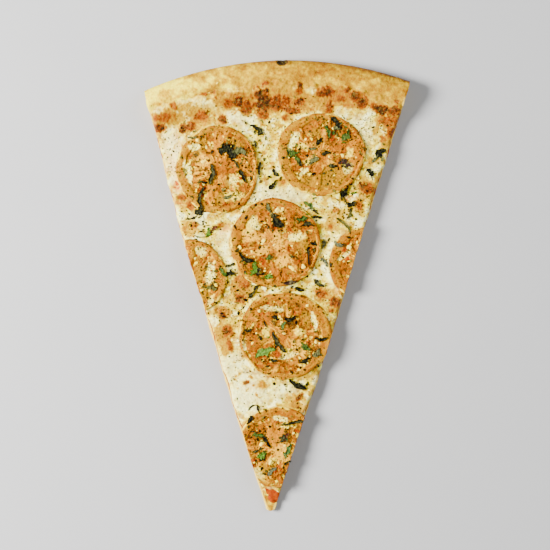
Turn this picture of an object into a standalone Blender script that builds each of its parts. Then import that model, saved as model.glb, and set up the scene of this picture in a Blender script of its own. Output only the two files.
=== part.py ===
"""One slice of a large thin-crust pizza, with sauce, cheese and seven baked tomato rounds.

It lies flat with its tip towards -Y and its rim towards +Y. The origin is at the bottom
centre of its bounding box. Sizes are in millimetres here and are built in metres.
"""

import math

import bmesh
import bpy
from mathutils import Vector

MM = 0.001
GAP = 0.3  # left between solids that lie on each other

# Outline, seen from above
LENGTH = 229.2
WIDTH = 135.4
RIM_ARC_RADIUS = 180.4
RIM_ARC_SHIFT = 6.0  # of the arc's centre, to +X
TIP_ROUNDING = 1.0  # how far the blunt tip bulges to -Y
TIP_LEFT = (-5.7, -LENGTH / 2 + TIP_ROUNDING + 0.1)
TIP_RIGHT = (-1.0, -LENGTH / 2 + TIP_ROUNDING - 0.1)
LEFT_BOW = 2.1  # how far each cut edge bulges outwards at its middle
RIGHT_BOW = 0.9

# Dough
BASE_THICKNESS = 3.8
TIP_THICKNESS = 3.1
RIM_HEIGHT = 12.2
RIM_MIDDLE_HEIGHT = 5.2  # where the rim's outer wall is widest
RIM_TOP_INSET = 8.0  # from the outer edge to the rim's crest
RIM_FOOT_INSET = 4.5  # from the outer edge to where the underside meets the table
RIM_WIDTH = 25.0

# Sauce and cheese
SAUCE_THICKNESS = 0.9
SAUCE_INSET = 19.0
SAUCE_TIP_INSET = 3.0
CHEESE_THICKNESS = 2.2
CHEESE_EDGE_THICKNESS = 0.7
CHEESE_INSET = 12.0
CHEESE_TIP_INSET = 11.0
CHEESE_EDGE_WAVE = 1.6

# Tomato rounds
TOMATO_THICKNESS = 2.6
TOMATO_SINK = 1.3  # how deep a round lies in the cheese
CELL_DEPTH = 0.8
RIB_WIDTH = 0.22  # of the angle between two ribs
RING_SHARES = (0.16, 0.34, 0.56, 0.76, 0.9, 1.0)  # of the radius
ROUND_SIDES = 30
CUTTER_HEIGHT = 40.0

# name: (x, y, radius along x, radius along y, seed cells, turn in degrees)
TOMATOES = {
    "tomato_upper_left": (-30.0, 58.9, 20.8, 22.4, 5, 20),
    "tomato_upper_right": (22.3, 66.6, 22.3, 21.0, 6, 5),
    "tomato_centre": (-0.9, 21.6, 22.9, 22.6, 6, 40),
    "tomato_lower": (4.1, -25.0, 23.6, 22.2, 5, 75),
    "tomato_left_edge": (-44.1, 4.6, 18.8, 18.8, 4, 30),
    "tomato_right_edge": (45.6, 11.2, 19.3, 19.3, 5, 0),
    "tomato_tip": (0.5, -81.6, 20.5, 20.6, 5, 55),
}

# Grid lines shared by the dough, the sauce and the cheese
COLUMNS = 16
RIM_ROWS = (0.0, 0.35, 1.4, 3.2, 5.4, RIM_TOP_INSET, CHEESE_INSET, 15.5, SAUCE_INSET, RIM_WIDTH)
TIP_ROWS = (0.0, SAUCE_TIP_INSET, 7.0, CHEESE_TIP_INSET)
MIDDLE_ROWS = 22


def smooth(value):
    """0 below 0, 1 above 1 and an S-curve between."""
    value = min(1.0, max(0.0, value))
    return value * value * (3 - 2 * value)


def rim_point(u):
    """A point of the outer arc, from its left end at u = 0 to its right end at u = 1."""
    centre_y = LENGTH / 2 - RIM_ARC_RADIUS
    start = math.asin((-WIDTH / 2 - RIM_ARC_SHIFT) / RIM_ARC_RADIUS)
    end = math.asin((WIDTH / 2 - RIM_ARC_SHIFT) / RIM_ARC_RADIUS)
    angle = start + (end - start) * u
    return Vector(
        (
            RIM_ARC_SHIFT + RIM_ARC_RADIUS * math.sin(angle),
            centre_y + RIM_ARC_RADIUS * math.cos(angle),
        )
    )


def tip_point(u):
    """A point of the blunt tip, whose middle bulges to -Y."""
    along = Vector(TIP_LEFT).lerp(Vector(TIP_RIGHT), u)
    return along - Vector((0, TIP_ROUNDING * math.sin(math.pi * u)))


def ray_length(u):
    """From the tip to the rim, along the grid line at u."""
    return (rim_point(u) - tip_point(u)).length


def plan_point(u, v):
    """The place seen from above. u runs from the left cut to the right cut, v from tip to rim."""
    start = tip_point(u)
    ray = rim_point(u) - start
    outwards = Vector((-ray.y, ray.x)).normalized()
    bow = LEFT_BOW * (1 - u) ** 2 - RIGHT_BOW * u**2
    wave = 0.35 * (1 - 2 * u) * math.sin(11 * v + 4 * u)
    return start + ray * v + outwards * (bow + wave) * math.sin(math.pi * v)


def row_values(u):
    """The v of every grid row at u. Rows near the tip and the rim keep their distance from it."""
    length = ray_length(u)
    first = [s / length for s in TIP_ROWS]
    last = [1 - d / length for d in reversed(RIM_ROWS)]
    step = (last[0] - first[-1]) / MIDDLE_ROWS
    middle = [first[-1] + step * k for k in range(1, MIDDLE_ROWS)]
    return first + middle + last


def rim_crest(u):
    """The rim's height, which is a little uneven along the arc."""
    return RIM_HEIGHT + 0.7 * math.sin(7 * u + 0.6) + 0.35 * math.sin(17 * u)


def dough_top(u, v):
    """The dough's upper surface: a flat base that swells into the rim."""
    inset = (1 - v) * ray_length(u)
    base = TIP_THICKNESS + (BASE_THICKNESS - TIP_THICKNESS) * smooth(v * 1.6)
    crest = rim_crest(u)
    if inset >= RIM_TOP_INSET:
        fall = smooth((inset - RIM_TOP_INSET) / (RIM_WIDTH - RIM_TOP_INSET))
        return crest + (base - crest) * fall
    round_off = math.sqrt(max(0.0, 1 - (1 - inset / RIM_TOP_INSET) ** 2))
    return RIM_MIDDLE_HEIGHT + (crest - RIM_MIDDLE_HEIGHT) * round_off


def dough_bottom(u, v):
    """Flat on the table, and curving up under the rim's outer edge."""
    inset = (1 - v) * ray_length(u)
    if inset >= RIM_FOOT_INSET:
        return 0.0
    round_off = math.sqrt(max(0.0, 1 - (1 - inset / RIM_FOOT_INSET) ** 2))
    return RIM_MIDDLE_HEIGHT * (1 - round_off)


def sauce_bottom(u, v):
    return dough_top(u, v) + GAP


def sauce_top(u, v):
    return sauce_bottom(u, v) + SAUCE_THICKNESS


def cheese_bottom(u, v):
    """Over the sauce, and down on the dough where the sauce ends."""
    inset = (1 - v) * ray_length(u)
    on_sauce = inset > SAUCE_INSET - 0.01
    return sauce_top(u, v) + GAP if on_sauce else dough_top(u, v) + GAP


def cheese_top(u, v):
    """Uneven, and thinner towards the rim, the tip and the two cuts."""
    place = plan_point(u, v)
    inset = (1 - v) * ray_length(u)
    from_tip = v * ray_length(u)
    ends = smooth((inset - CHEESE_INSET) / 14) * smooth((from_tip - CHEESE_TIP_INSET + 3) / 9)
    cuts = 1 - 0.25 * abs(2 * u - 1) ** 6
    lumps = 0.22 * math.sin(place.x / 5.1 + 1) * math.sin(place.y / 6.3)
    swell = CHEESE_THICKNESS - CHEESE_EDGE_THICKNESS + lumps
    on_sauce = inset > SAUCE_INSET - 0.01
    over_dough = 0 if on_sauce else 0.5 * smooth((SAUCE_INSET - inset) / 5)
    return cheese_bottom(u, v) + CHEESE_EDGE_THICKNESS + swell * ends * cuts + over_dough


def cheese_shift(u, row, rows):
    """How far the cheese's two free ends wander along a grid line, as a share of its length."""
    if row == rows[-1]:
        return CHEESE_EDGE_WAVE * math.sin(13 * u + 1) / ray_length(u)
    if row == rows[0]:
        return CHEESE_EDGE_WAVE * math.sin(5 * u + 2) / ray_length(u)
    return 0.0


def no_shift(u, row, rows):
    return 0.0


def link(name, bm):
    """Makes an object from a bmesh whose faces may point either way."""
    bmesh.ops.recalc_face_normals(bm, faces=bm.faces)
    mesh = bpy.data.meshes.new(name)
    bm.to_mesh(mesh)
    bm.free()
    obj = bpy.data.objects.new(name, mesh)
    bpy.context.collection.objects.link(obj)
    return obj


def layer(name, bottom, top, rows, shift=no_shift, closed_rim=False):
    """A slab over the chosen grid rows. With closed_rim its top and bottom meet at the last row."""
    bm = bmesh.new()
    low, high = [], []
    for column in range(COLUMNS + 1):
        u = column / COLUMNS
        values = row_values(u)
        lows, highs = [], []
        for row in rows:
            v = values[row] + shift(u, row, rows)
            place = plan_point(u, v)
            lows.append(bm.verts.new((place.x * MM, place.y * MM, bottom(u, v) * MM)))
            if closed_rim and row == rows[-1]:
                highs.append(lows[-1])
            else:
                highs.append(bm.verts.new((place.x * MM, place.y * MM, top(u, v) * MM)))
        low.append(lows)
        high.append(highs)
    last = len(rows) - 1
    for column in range(COLUMNS):
        for row in range(last):
            for sheet in (low, high):
                a, b = sheet[column], sheet[column + 1]
                bm.faces.new((a[row], b[row], b[row + 1], a[row + 1]))
        for row in (0,) if closed_rim else (0, last):
            a, b = column, column + 1
            bm.faces.new((low[a][row], low[b][row], high[b][row], high[a][row]))
    for column in (0, COLUMNS):
        lows, highs = low[column], high[column]
        for row in range(last):
            corners = (lows[row], lows[row + 1], highs[row + 1], highs[row])
            bm.faces.new(tuple(dict.fromkeys(corners)))
    return link(name, bm)


def slice_cutter():
    """A tall prism with the slice's outline, which trims the rounds that cross a cut."""
    bm = bmesh.new()
    steps = [k / 40 for k in range(41)]
    outline = [plan_point(0, v) for v in steps] + [plan_point(1, v) for v in reversed(steps)]
    lows = [bm.verts.new((p.x * MM, p.y * MM, 0)) for p in outline]
    bm.faces.new(lows)
    raised = bmesh.ops.extrude_face_region(bm, geom=list(bm.faces))["geom"]
    tops = [v for v in raised if isinstance(v, bmesh.types.BMVert)]
    bmesh.ops.translate(bm, verts=tops, vec=(0, 0, CUTTER_HEIGHT * MM))
    return as_cutter(link("slice_cutter", bm))


def as_cutter(obj):
    obj.hide_render = True
    obj.display_type = "WIRE"
    return obj


def tomato_floor(y):
    """The height of a round's underside: the cheese below it keeps half of its thickness."""
    v = (y + LENGTH / 2) / LENGTH
    return cheese_bottom(0.5, v) + CHEESE_THICKNESS - TOMATO_SINK + GAP


def tomato_height(share, angle, cells, turn):
    """The cut face of a round: a core, sunk seed cells between ribs, a wall and a rounded skin."""
    if share == 1.0:
        return TOMATO_THICKNESS - 0.5
    phase = ((angle - math.radians(turn)) * cells / math.tau) % 1.0
    from_rib = min(phase, 1 - phase)
    in_cell = smooth((from_rib - RIB_WIDTH / 2) / 0.15)
    in_cell *= smooth((share - 0.2) / 0.15) * smooth((0.9 - share) / 0.12)
    return TOMATO_THICKNESS - 0.25 * (share < 0.8) - CELL_DEPTH * in_cell


def tomato_round(name, x, y, radius_x, radius_y, cells, turn):
    """One slice of tomato, as rings of points round its middle."""
    floor = tomato_floor(y)
    bm = bmesh.new()
    angles = [math.tau * k / ROUND_SIDES for k in range(ROUND_SIDES)]

    def ring(share, height_at):
        points = []
        for angle in angles:
            wobble = 1 + 0.012 * math.sin(3 * angle + turn) + 0.008 * math.sin(5 * angle)
            dx = radius_x * share * wobble * math.cos(angle)
            dy = radius_y * share * wobble * math.sin(angle)
            place = ((x + dx) * MM, (y + dy) * MM, (floor + height_at(angle)) * MM)
            points.append(bm.verts.new(place))
        return points

    rings = [ring(0.97, lambda angle: 0.0)]
    rings.append(ring(1.0, lambda angle: 0.6))
    for share in reversed(RING_SHARES):
        rings.append(ring(share, lambda angle, s=share: tomato_height(s, angle, cells, turn)))
    for below, above in zip(rings, rings[1:]):
        for k in range(ROUND_SIDES):
            after = (k + 1) % ROUND_SIDES
            bm.faces.new((below[k], below[after], above[after], above[k]))
    bm.faces.new(rings[0])
    bm.faces.new(rings[-1])
    return link(name, bm)


def tomato_pocket(name, x, y, radius_x, radius_y):
    """The room that a round takes from the cheese."""
    bm = bmesh.new()
    bmesh.ops.create_cone(
        bm, cap_ends=True, segments=ROUND_SIDES, radius1=1, radius2=1, depth=CUTTER_HEIGHT * MM
    )
    spare = 1.03  # past the round's wobble
    bmesh.ops.scale(bm, verts=bm.verts, vec=(radius_x * spare * MM, radius_y * spare * MM, 1))
    middle = tomato_floor(y) - GAP + CUTTER_HEIGHT / 2
    bmesh.ops.translate(bm, verts=bm.verts, vec=(x * MM, y * MM, middle * MM))
    return as_cutter(link("pocket_for_" + name, bm))


def combine(obj, operation, cutter):
    modifier = obj.modifiers.new(operation.lower() + "_" + cutter.name, "BOOLEAN")
    modifier.operation = operation
    modifier.object = cutter


def paint(obj, colour, roughness):
    material = bpy.data.materials.new(obj.name + "_finish")
    material.use_nodes = True
    shader = material.node_tree.nodes["Principled BSDF"]
    shader.inputs["Base Color"].default_value = (*colour, 1)
    shader.inputs["Roughness"].default_value = roughness
    shader.inputs["Metallic"].default_value = 0
    obj.data.materials.append(material)


def main():
    for obj in list(bpy.data.objects):
        bpy.data.objects.remove(obj)
    last = len(TIP_ROWS) + MIDDLE_ROWS - 1 + len(RIM_ROWS)
    row_of_inset = {d: last - 1 - k for k, d in enumerate(RIM_ROWS)}
    sauce_rows = range(TIP_ROWS.index(SAUCE_TIP_INSET), row_of_inset[SAUCE_INSET] + 1)
    cheese_rows = range(TIP_ROWS.index(CHEESE_TIP_INSET), row_of_inset[CHEESE_INSET] + 1)

    dough = layer("dough", dough_bottom, dough_top, range(last), closed_rim=True)
    sauce = layer("sauce", sauce_bottom, sauce_top, sauce_rows)
    cheese = layer("cheese", cheese_bottom, cheese_top, cheese_rows, shift=cheese_shift)
    paint(dough, (0.80, 0.58, 0.28), 0.75)
    paint(sauce, (0.62, 0.13, 0.03), 0.35)
    paint(cheese, (0.90, 0.80, 0.52), 0.4)

    cutter = slice_cutter()
    rounds = []
    for name, (x, y, radius_x, radius_y, cells, turn) in TOMATOES.items():
        obj = tomato_round(name, x, y, radius_x, radius_y, cells, turn)
        combine(obj, "INTERSECT", cutter)
        combine(cheese, "DIFFERENCE", tomato_pocket(name, x, y, radius_x, radius_y))
        paint(obj, (0.85, 0.32, 0.05), 0.3)
        rounds.append(obj)

    slice_empty = bpy.data.objects.new("pizza_slice", None)
    bpy.context.collection.objects.link(slice_empty)
    for obj in [dough, sauce, cheese, *rounds]:
        obj.parent = slice_empty
        obj.data.shade_smooth()
        obj.data.set_sharp_from_angle(angle=math.radians(40))


main()
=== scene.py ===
"""The looks of one pizza slice: baked dough, sauce, browned cheese, tomato rounds, herbs and crumbs.

Every length here is in millimetres, in the frame's axes, and MM turns it into metres.
"""

import math

import bmesh
import bpy
import numpy as np
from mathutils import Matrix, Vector, kdtree
from mathutils.geometry import delaunay_2d_cdt


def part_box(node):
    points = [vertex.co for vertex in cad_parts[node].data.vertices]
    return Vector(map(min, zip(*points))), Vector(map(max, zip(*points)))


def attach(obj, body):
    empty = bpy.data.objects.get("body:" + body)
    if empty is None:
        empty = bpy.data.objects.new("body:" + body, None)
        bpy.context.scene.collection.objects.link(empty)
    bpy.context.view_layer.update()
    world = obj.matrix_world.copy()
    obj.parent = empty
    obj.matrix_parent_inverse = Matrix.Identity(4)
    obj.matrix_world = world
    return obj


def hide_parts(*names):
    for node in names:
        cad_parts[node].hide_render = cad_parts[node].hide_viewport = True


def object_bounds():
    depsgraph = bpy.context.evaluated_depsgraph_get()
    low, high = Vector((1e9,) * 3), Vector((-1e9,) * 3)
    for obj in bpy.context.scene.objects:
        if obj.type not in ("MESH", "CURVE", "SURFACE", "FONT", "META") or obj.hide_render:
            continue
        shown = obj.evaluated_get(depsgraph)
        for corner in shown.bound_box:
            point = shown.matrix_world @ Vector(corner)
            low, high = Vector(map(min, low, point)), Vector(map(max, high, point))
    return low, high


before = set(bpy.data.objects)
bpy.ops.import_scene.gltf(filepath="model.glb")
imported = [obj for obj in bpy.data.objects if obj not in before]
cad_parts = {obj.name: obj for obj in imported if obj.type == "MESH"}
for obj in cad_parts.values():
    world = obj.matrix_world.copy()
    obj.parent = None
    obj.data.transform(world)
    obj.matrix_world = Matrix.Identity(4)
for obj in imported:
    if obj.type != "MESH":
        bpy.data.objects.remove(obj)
cad_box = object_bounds()

MM = 0.001

# The outline that the solids have, seen from above
LENGTH = (cad_box[1].y - cad_box[0].y) / MM
WIDTH = (cad_box[1].x - cad_box[0].x) / MM
RIM_ARC_RADIUS = 180.4
RIM_ARC_SHIFT = 6.0
TIP_ROUNDING = 1.0
TIP_LEFT = (-5.7, -LENGTH / 2 + 1.1)
TIP_RIGHT = (-1.0, -LENGTH / 2 + 0.9)
LEFT_BOW = 2.1
RIGHT_BOW = 0.9

# Heights
BASE_THICKNESS = 3.8
TIP_THICKNESS = 3.1
RIM_HEIGHT = 12.4
RIM_MIDDLE_HEIGHT = 5.2
RIM_TOP_INSET = 8.0
RIM_FOOT_INSET = 4.5
RIM_WIDTH = 25.0
SAUCE_THICKNESS = 1.3
CHEESE_THICKNESS = 2.1

# name: x, y, radius along x, radius along y, directions of the ribs
TOMATOES = {
    "tomato_upper_left": (-30.0, 58.9, 20.8, 22.4, (75, 130, 200, 255, 310, 15)),
    "tomato_upper_right": (22.3, 66.6, 22.3, 21.0, (20, 80, 140, 205, 262, 320)),
    "tomato_centre": (-0.9, 21.6, 22.9, 22.6, (112, 62, 8, 312, 262, 205, 158)),
    "tomato_lower": (4.1, -25.0, 23.6, 22.2, (85, 145, 200, 250, 310, 15)),
    "tomato_left_edge": (-44.1, 4.6, 18.8, 18.8, (40, 350, 300, 90)),
    "tomato_right_edge": (45.6, 11.2, 19.3, 19.3, (150, 195, 240, 100)),
    "tomato_tip": (0.5, -81.6, 20.5, 20.6, (60, 120, 180, 240, 300, 0)),
}
# name: width of the wall, how much it varies round the round, where it is widest, warmth at the left and right. The
# change in warmth from left to right is partly painted shade, more orange on the side away from the light.
WALLS = {
    "tomato_upper_left": (2.9, 0.55, 195, 0.00, 0.65),
    "tomato_upper_right": (3.1, 0.60, 185, 0.05, 0.70),
    "tomato_centre": (3.1, 0.52, 150, 0.40, 0.95),
    "tomato_lower": (3.3, 0.55, 20, 0.45, 0.35),
    "tomato_left_edge": (2.5, 0.20, 0, 0.05, 0.35),
    "tomato_right_edge": (3.4, 0.35, 205, 0.55, 0.85),
    "tomato_tip": (2.9, 0.65, 90, 0.55, 0.75),
}

# Colours, from 0 to 255
CHEESE_CREAM = (244, 226, 44)
CHEESE_WHITE = (251, 248, 166)
CHEESE_YELLOW = (186, 148, 0)
CHEESE_GREEN = (216, 210, 36)
CHEESE_GOLD = (160, 114, 0)
BLUSH_PINK = (220, 126, 50)
BLUSH_RED = (148, 46, 4)
TOASTED = [
    (0.00, (244, 218, 30)), (0.12, (190, 146, 2)), (0.24, (170, 124, 0)), (0.38, (150, 92, 0)),
    (0.52, (138, 66, 0)), (0.66, (120, 45, 2)), (0.80, (90, 30, 12)), (0.92, (64, 23, 13)), (1.00, (42, 18, 10)),
]
CRUST = [
    (0.00, (240, 220, 48)), (0.20, (196, 156, 6)), (0.38, (156, 112, 0)), (0.55, (134, 80, 0)),
    (0.72, (96, 50, 15)), (0.88, (60, 28, 14)), (1.00, (31, 15, 11)),
]
CRUMB_PALE = (240, 210, 94)
CRUMB_GOLD = (198, 154, 30)
SAUCE_LOW = (130, 41, 10)
SAUCE_HIGH = (166, 75, 8)
WALL_YELLOW = (146, 94, 0)
WALL_ORANGE = (134, 66, 0)
# Gold of the wall, also painted as a highlight band along the wall's middle
WALL_GOLD_AND_HIGHLIGHT = (182, 134, 0)
SKIN = (104, 54, 4)
FLESH_PEACH = (174, 108, 0)
FLESH_SALMON = (146, 78, 0)
FLESH_PALE = (220, 162, 24)
GEL_YELLOW = (146, 102, 0)
GEL_ORANGE = (130, 66, 0)
GEL_RED = (130, 38, 0)
PULP_CREAM = (240, 208, 44)
PULP_BROWN = (76, 40, 10)

# The mixed contents of the seed cells: where each colour starts on a scale from 0 to 1
PULP_MIX = [
    (0.00, GEL_RED), (0.14, GEL_ORANGE), (0.26, FLESH_SALMON), (0.36, GEL_YELLOW), (0.45, FLESH_PEACH),
    (0.50, PULP_CREAM), (0.60, GEL_YELLOW), (0.67, FLESH_SALMON), (0.75, GEL_ORANGE), (0.86, PULP_BROWN),
]

# Browned cheese: x, y, radius across, radius along, turn in degrees, depth of browning
BROWNED = [
    (-58.3, 84.7, 6.2, 2.6, 5, 0.55), (-59.3, 80.3, 3.0, 2.2, 0, 0.85), (-52.2, 90.7, 1.7, 2.4, 30, 0.55),
    (-36.6, 96.6, 2.4, 1.1, 0, 0.60), (-32.6, 98.8, 1.5, 2.4, 25, 0.85), (-30.8, 94.8, 1.1, 1.1, 0, 0.75),
    (-38.5, 85.8, 5.0, 2.6, 10, 0.60), (-43.7, 80.8, 3.2, 2.2, 20, 0.72), (-47.6, 79.4, 1.9, 2.1, 0, 0.88),
    (-27.6, 84.2, 1.8, 2.3, 20, 0.82), (-24.6, 91.8, 2.7, 2.6, 0, 0.62), (-19.8, 92.9, 2.8, 2.8, 0, 0.88),
    (-15.2, 89.8, 3.0, 3.8, 0, 0.72), (-7.1, 94.5, 4.6, 6.0, 5, 0.95), (-6.3, 102.2, 2.2, 1.8, 0, 0.68),
    (-7.2, 86.4, 3.2, 2.2, 0, 0.66), (-0.6, 92.8, 3.8, 3.8, 0, 0.76), (4.6, 94.0, 3.6, 3.0, 0, 0.66),
    (7.3, 88.9, 4.6, 1.7, -10, 0.74), (11.3, 93.2, 3.6, 1.6, 20, 0.72), (3.9, 85.0, 1.6, 1.8, 0, 0.62),
    (7.8, 104.7, 3.0, 2.3, 0, 0.55), (8.1, 103.6, 1.3, 0.8, 0, 0.90), (11.4, 101.4, 1.4, 1.8, 20, 0.86),
    (11.2, 97.9, 1.8, 2.0, 0, 0.62), (26.4, 106.1, 1.2, 2.0, -20, 0.55), (31.7, 104.7, 2.2, 2.2, 0, 0.48),
    (43.9, 104.0, 4.2, 1.3, -20, 0.52), (24.5, 97.9, 4.8, 2.8, 0, 0.80), (25.8, 97.7, 1.2, 1.5, 0, 0.96),
    (32.0, 94.8, 3.2, 2.0, 0, 0.72), (35.4, 98.6, 2.2, 1.6, 20, 0.76), (39.0, 95.7, 3.0, 2.7, 0, 0.86),
    (43.3, 92.2, 2.7, 3.2, 0, 0.90), (26.6, 90.4, 2.0, 3.9, -12, 0.72), (59.6, 95.4, 1.7, 4.6, 8, 0.88),
    (52.4, 89.1, 5.0, 2.4, -18, 0.99), (59.6, 88.9, 2.6, 2.6, 0, 0.82), (55.8, 83.2, 5.4, 3.0, -10, 0.55),
    (57.3, 78.2, 2.5, 3.2, 20, 0.62), (53.7, 74.4, 1.8, 2.3, 0, 0.42), (45.1, 49.2, 3.5, 2.9, -10, 0.68),
    (46.8, 48.0, 1.4, 1.2, 0, 0.82), (43.3, 50.6, 1.3, 1.2, 0, 0.80), (41.7, 40.6, 1.9, 2.6, 15, 0.58),
    (29.9, 38.3, 2.2, 1.4, 0, 0.42), (27.0, 30.2, 1.4, 1.4, 0, 0.50), (2.8, 52.6, 2.2, 1.5, 0, 0.38),
    (22.5, -3.9, 3.2, 2.1, -15, 0.68), (28.6, -8.5, 2.9, 2.6, 20, 0.78), (27.6, -12.4, 1.6, 1.2, 0, 0.62),
    (32.4, -2.6, 1.6, 1.6, 0, 0.40), (-43.4, 40.9, 3.6, 2.5, -15, 0.66), (-47.9, 44.8, 2.2, 2.0, 0, 0.60),
    (-41.8, 30.9, 2.1, 1.6, 0, 0.48), (-46.6, 28.6, 1.6, 2.4, 0, 0.38), (-28.6, 30.8, 2.2, 1.2, 10, 0.42),
    (-18.0, 1.4, 4.3, 4.2, 0, 0.46), (-16.3, 0.3, 1.8, 1.5, 0, 0.64), (-18.5, -6.0, 2.6, 2.5, 20, 0.78),
    (-27.8, -14.2, 1.7, 1.7, 0, 0.82), (-27.0, -13.6, 4.6, 3.4, 0, 0.36), (-25.2, -22.6, 3.2, 3.2, 0, 0.66),
    (-25.8, -23.2, 1.4, 1.3, 0, 0.86), (-23.9, -29.6, 1.7, 3.2, 15, 0.62), (-15.9, -48.8, 1.7, 1.1, 20, 0.84),
    (11.3, -56.1, 1.1, 2.7, -40, 0.84), (-7.6, -49.6, 2.4, 2.0, 0, 0.30), (-15.0, -73.3, 2.0, 2.3, 0, 0.66),
    (-12.0, -79.0, 1.7, 2.1, 0, 0.52), (9.2, -60.0, 3.2, 2.4, 0, 0.30), (37.0, 62.0, 2.2, 2.0, 0, 0.30),
]

# Sauce that shows through thin cheese: x, y, radius across, radius along, turn, strength
BLUSHED = [
    (-52.6, 60.0, 3.0, 11.0, 12, 0.32), (-51.2, 51.0, 2.2, 2.4, 0, 0.60), (-47.6, 44.0, 3.4, 4.0, 0, 0.62),
    (-43.4, 40.4, 2.4, 1.8, 0, 0.60), (-59.0, 79.6, 2.4, 2.2, 0, 0.62), (-27.4, 84.4, 3.0, 3.0, 0, 0.40),
    (19.0, 91.8, 8.0, 3.4, 5, 0.36), (55.0, 72.0, 3.0, 4.0, 0, 0.32), (-26.6, 28.6, 3.4, 2.6, 20, 0.34),
    (-50.0, 75.0, 2.6, 6.0, 0, 0.26), (-24.0, 38.0, 4.0, 1.8, 15, 0.22), (36.0, 36.0, 2.0, 2.0, 0, 0.25),
    (31.4, -3.0, 2.4, 2.6, 0, 0.40), (13.0, -61.0, 3.4, 2.4, 0, 0.30), (-3.6, -102.6, 3.8, 1.6, 5, 0.40),
    (-12.4, -50.6, 5.0, 2.0, 10, 0.16), (36.6, 44.4, 2.4, 1.4, 30, 0.35), (21.6, -50.0, 2.6, 6.0, 15, 0.22),
]

# The whitest cheese, in the same form
WHITE = [
    (-52.0, 66.0, 4.6, 13.0, 12, 0.95), (-24.0, -40.0, 6.0, 9.0, 10, 0.80), (-15.0, -54.0, 9.5, 9.5, 0, 0.95),
    (-19.0, 86.0, 7.0, 4.0, -20, 0.70), (-42.0, 31.0, 4.0, 5.0, 0, 0.60), (1.0, 46.0, 14.0, 4.0, 0, 0.60),
    (-28.0, 93.0, 5.0, 3.0, 0, 0.60), (-45.0, 92.0, 8.0, 4.0, 15, 0.50), (29.0, 84.5, 12.0, 3.4, -12, 0.45),
    (43.0, 79.0, 6.0, 7.0, 30, 0.50), (2.0, -53.5, 9.0, 3.6, 0, 0.55), (-26.0, 20.0, 4.0, 9.0, 10, 0.55),
    (27.5, 6.0, 3.0, 7.0, 20, 0.55), (-31.0, -17.0, 2.6, 3.0, 0, 0.80), (30.0, 20.0, 4.0, 7.0, 0, 0.40),
]

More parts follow.
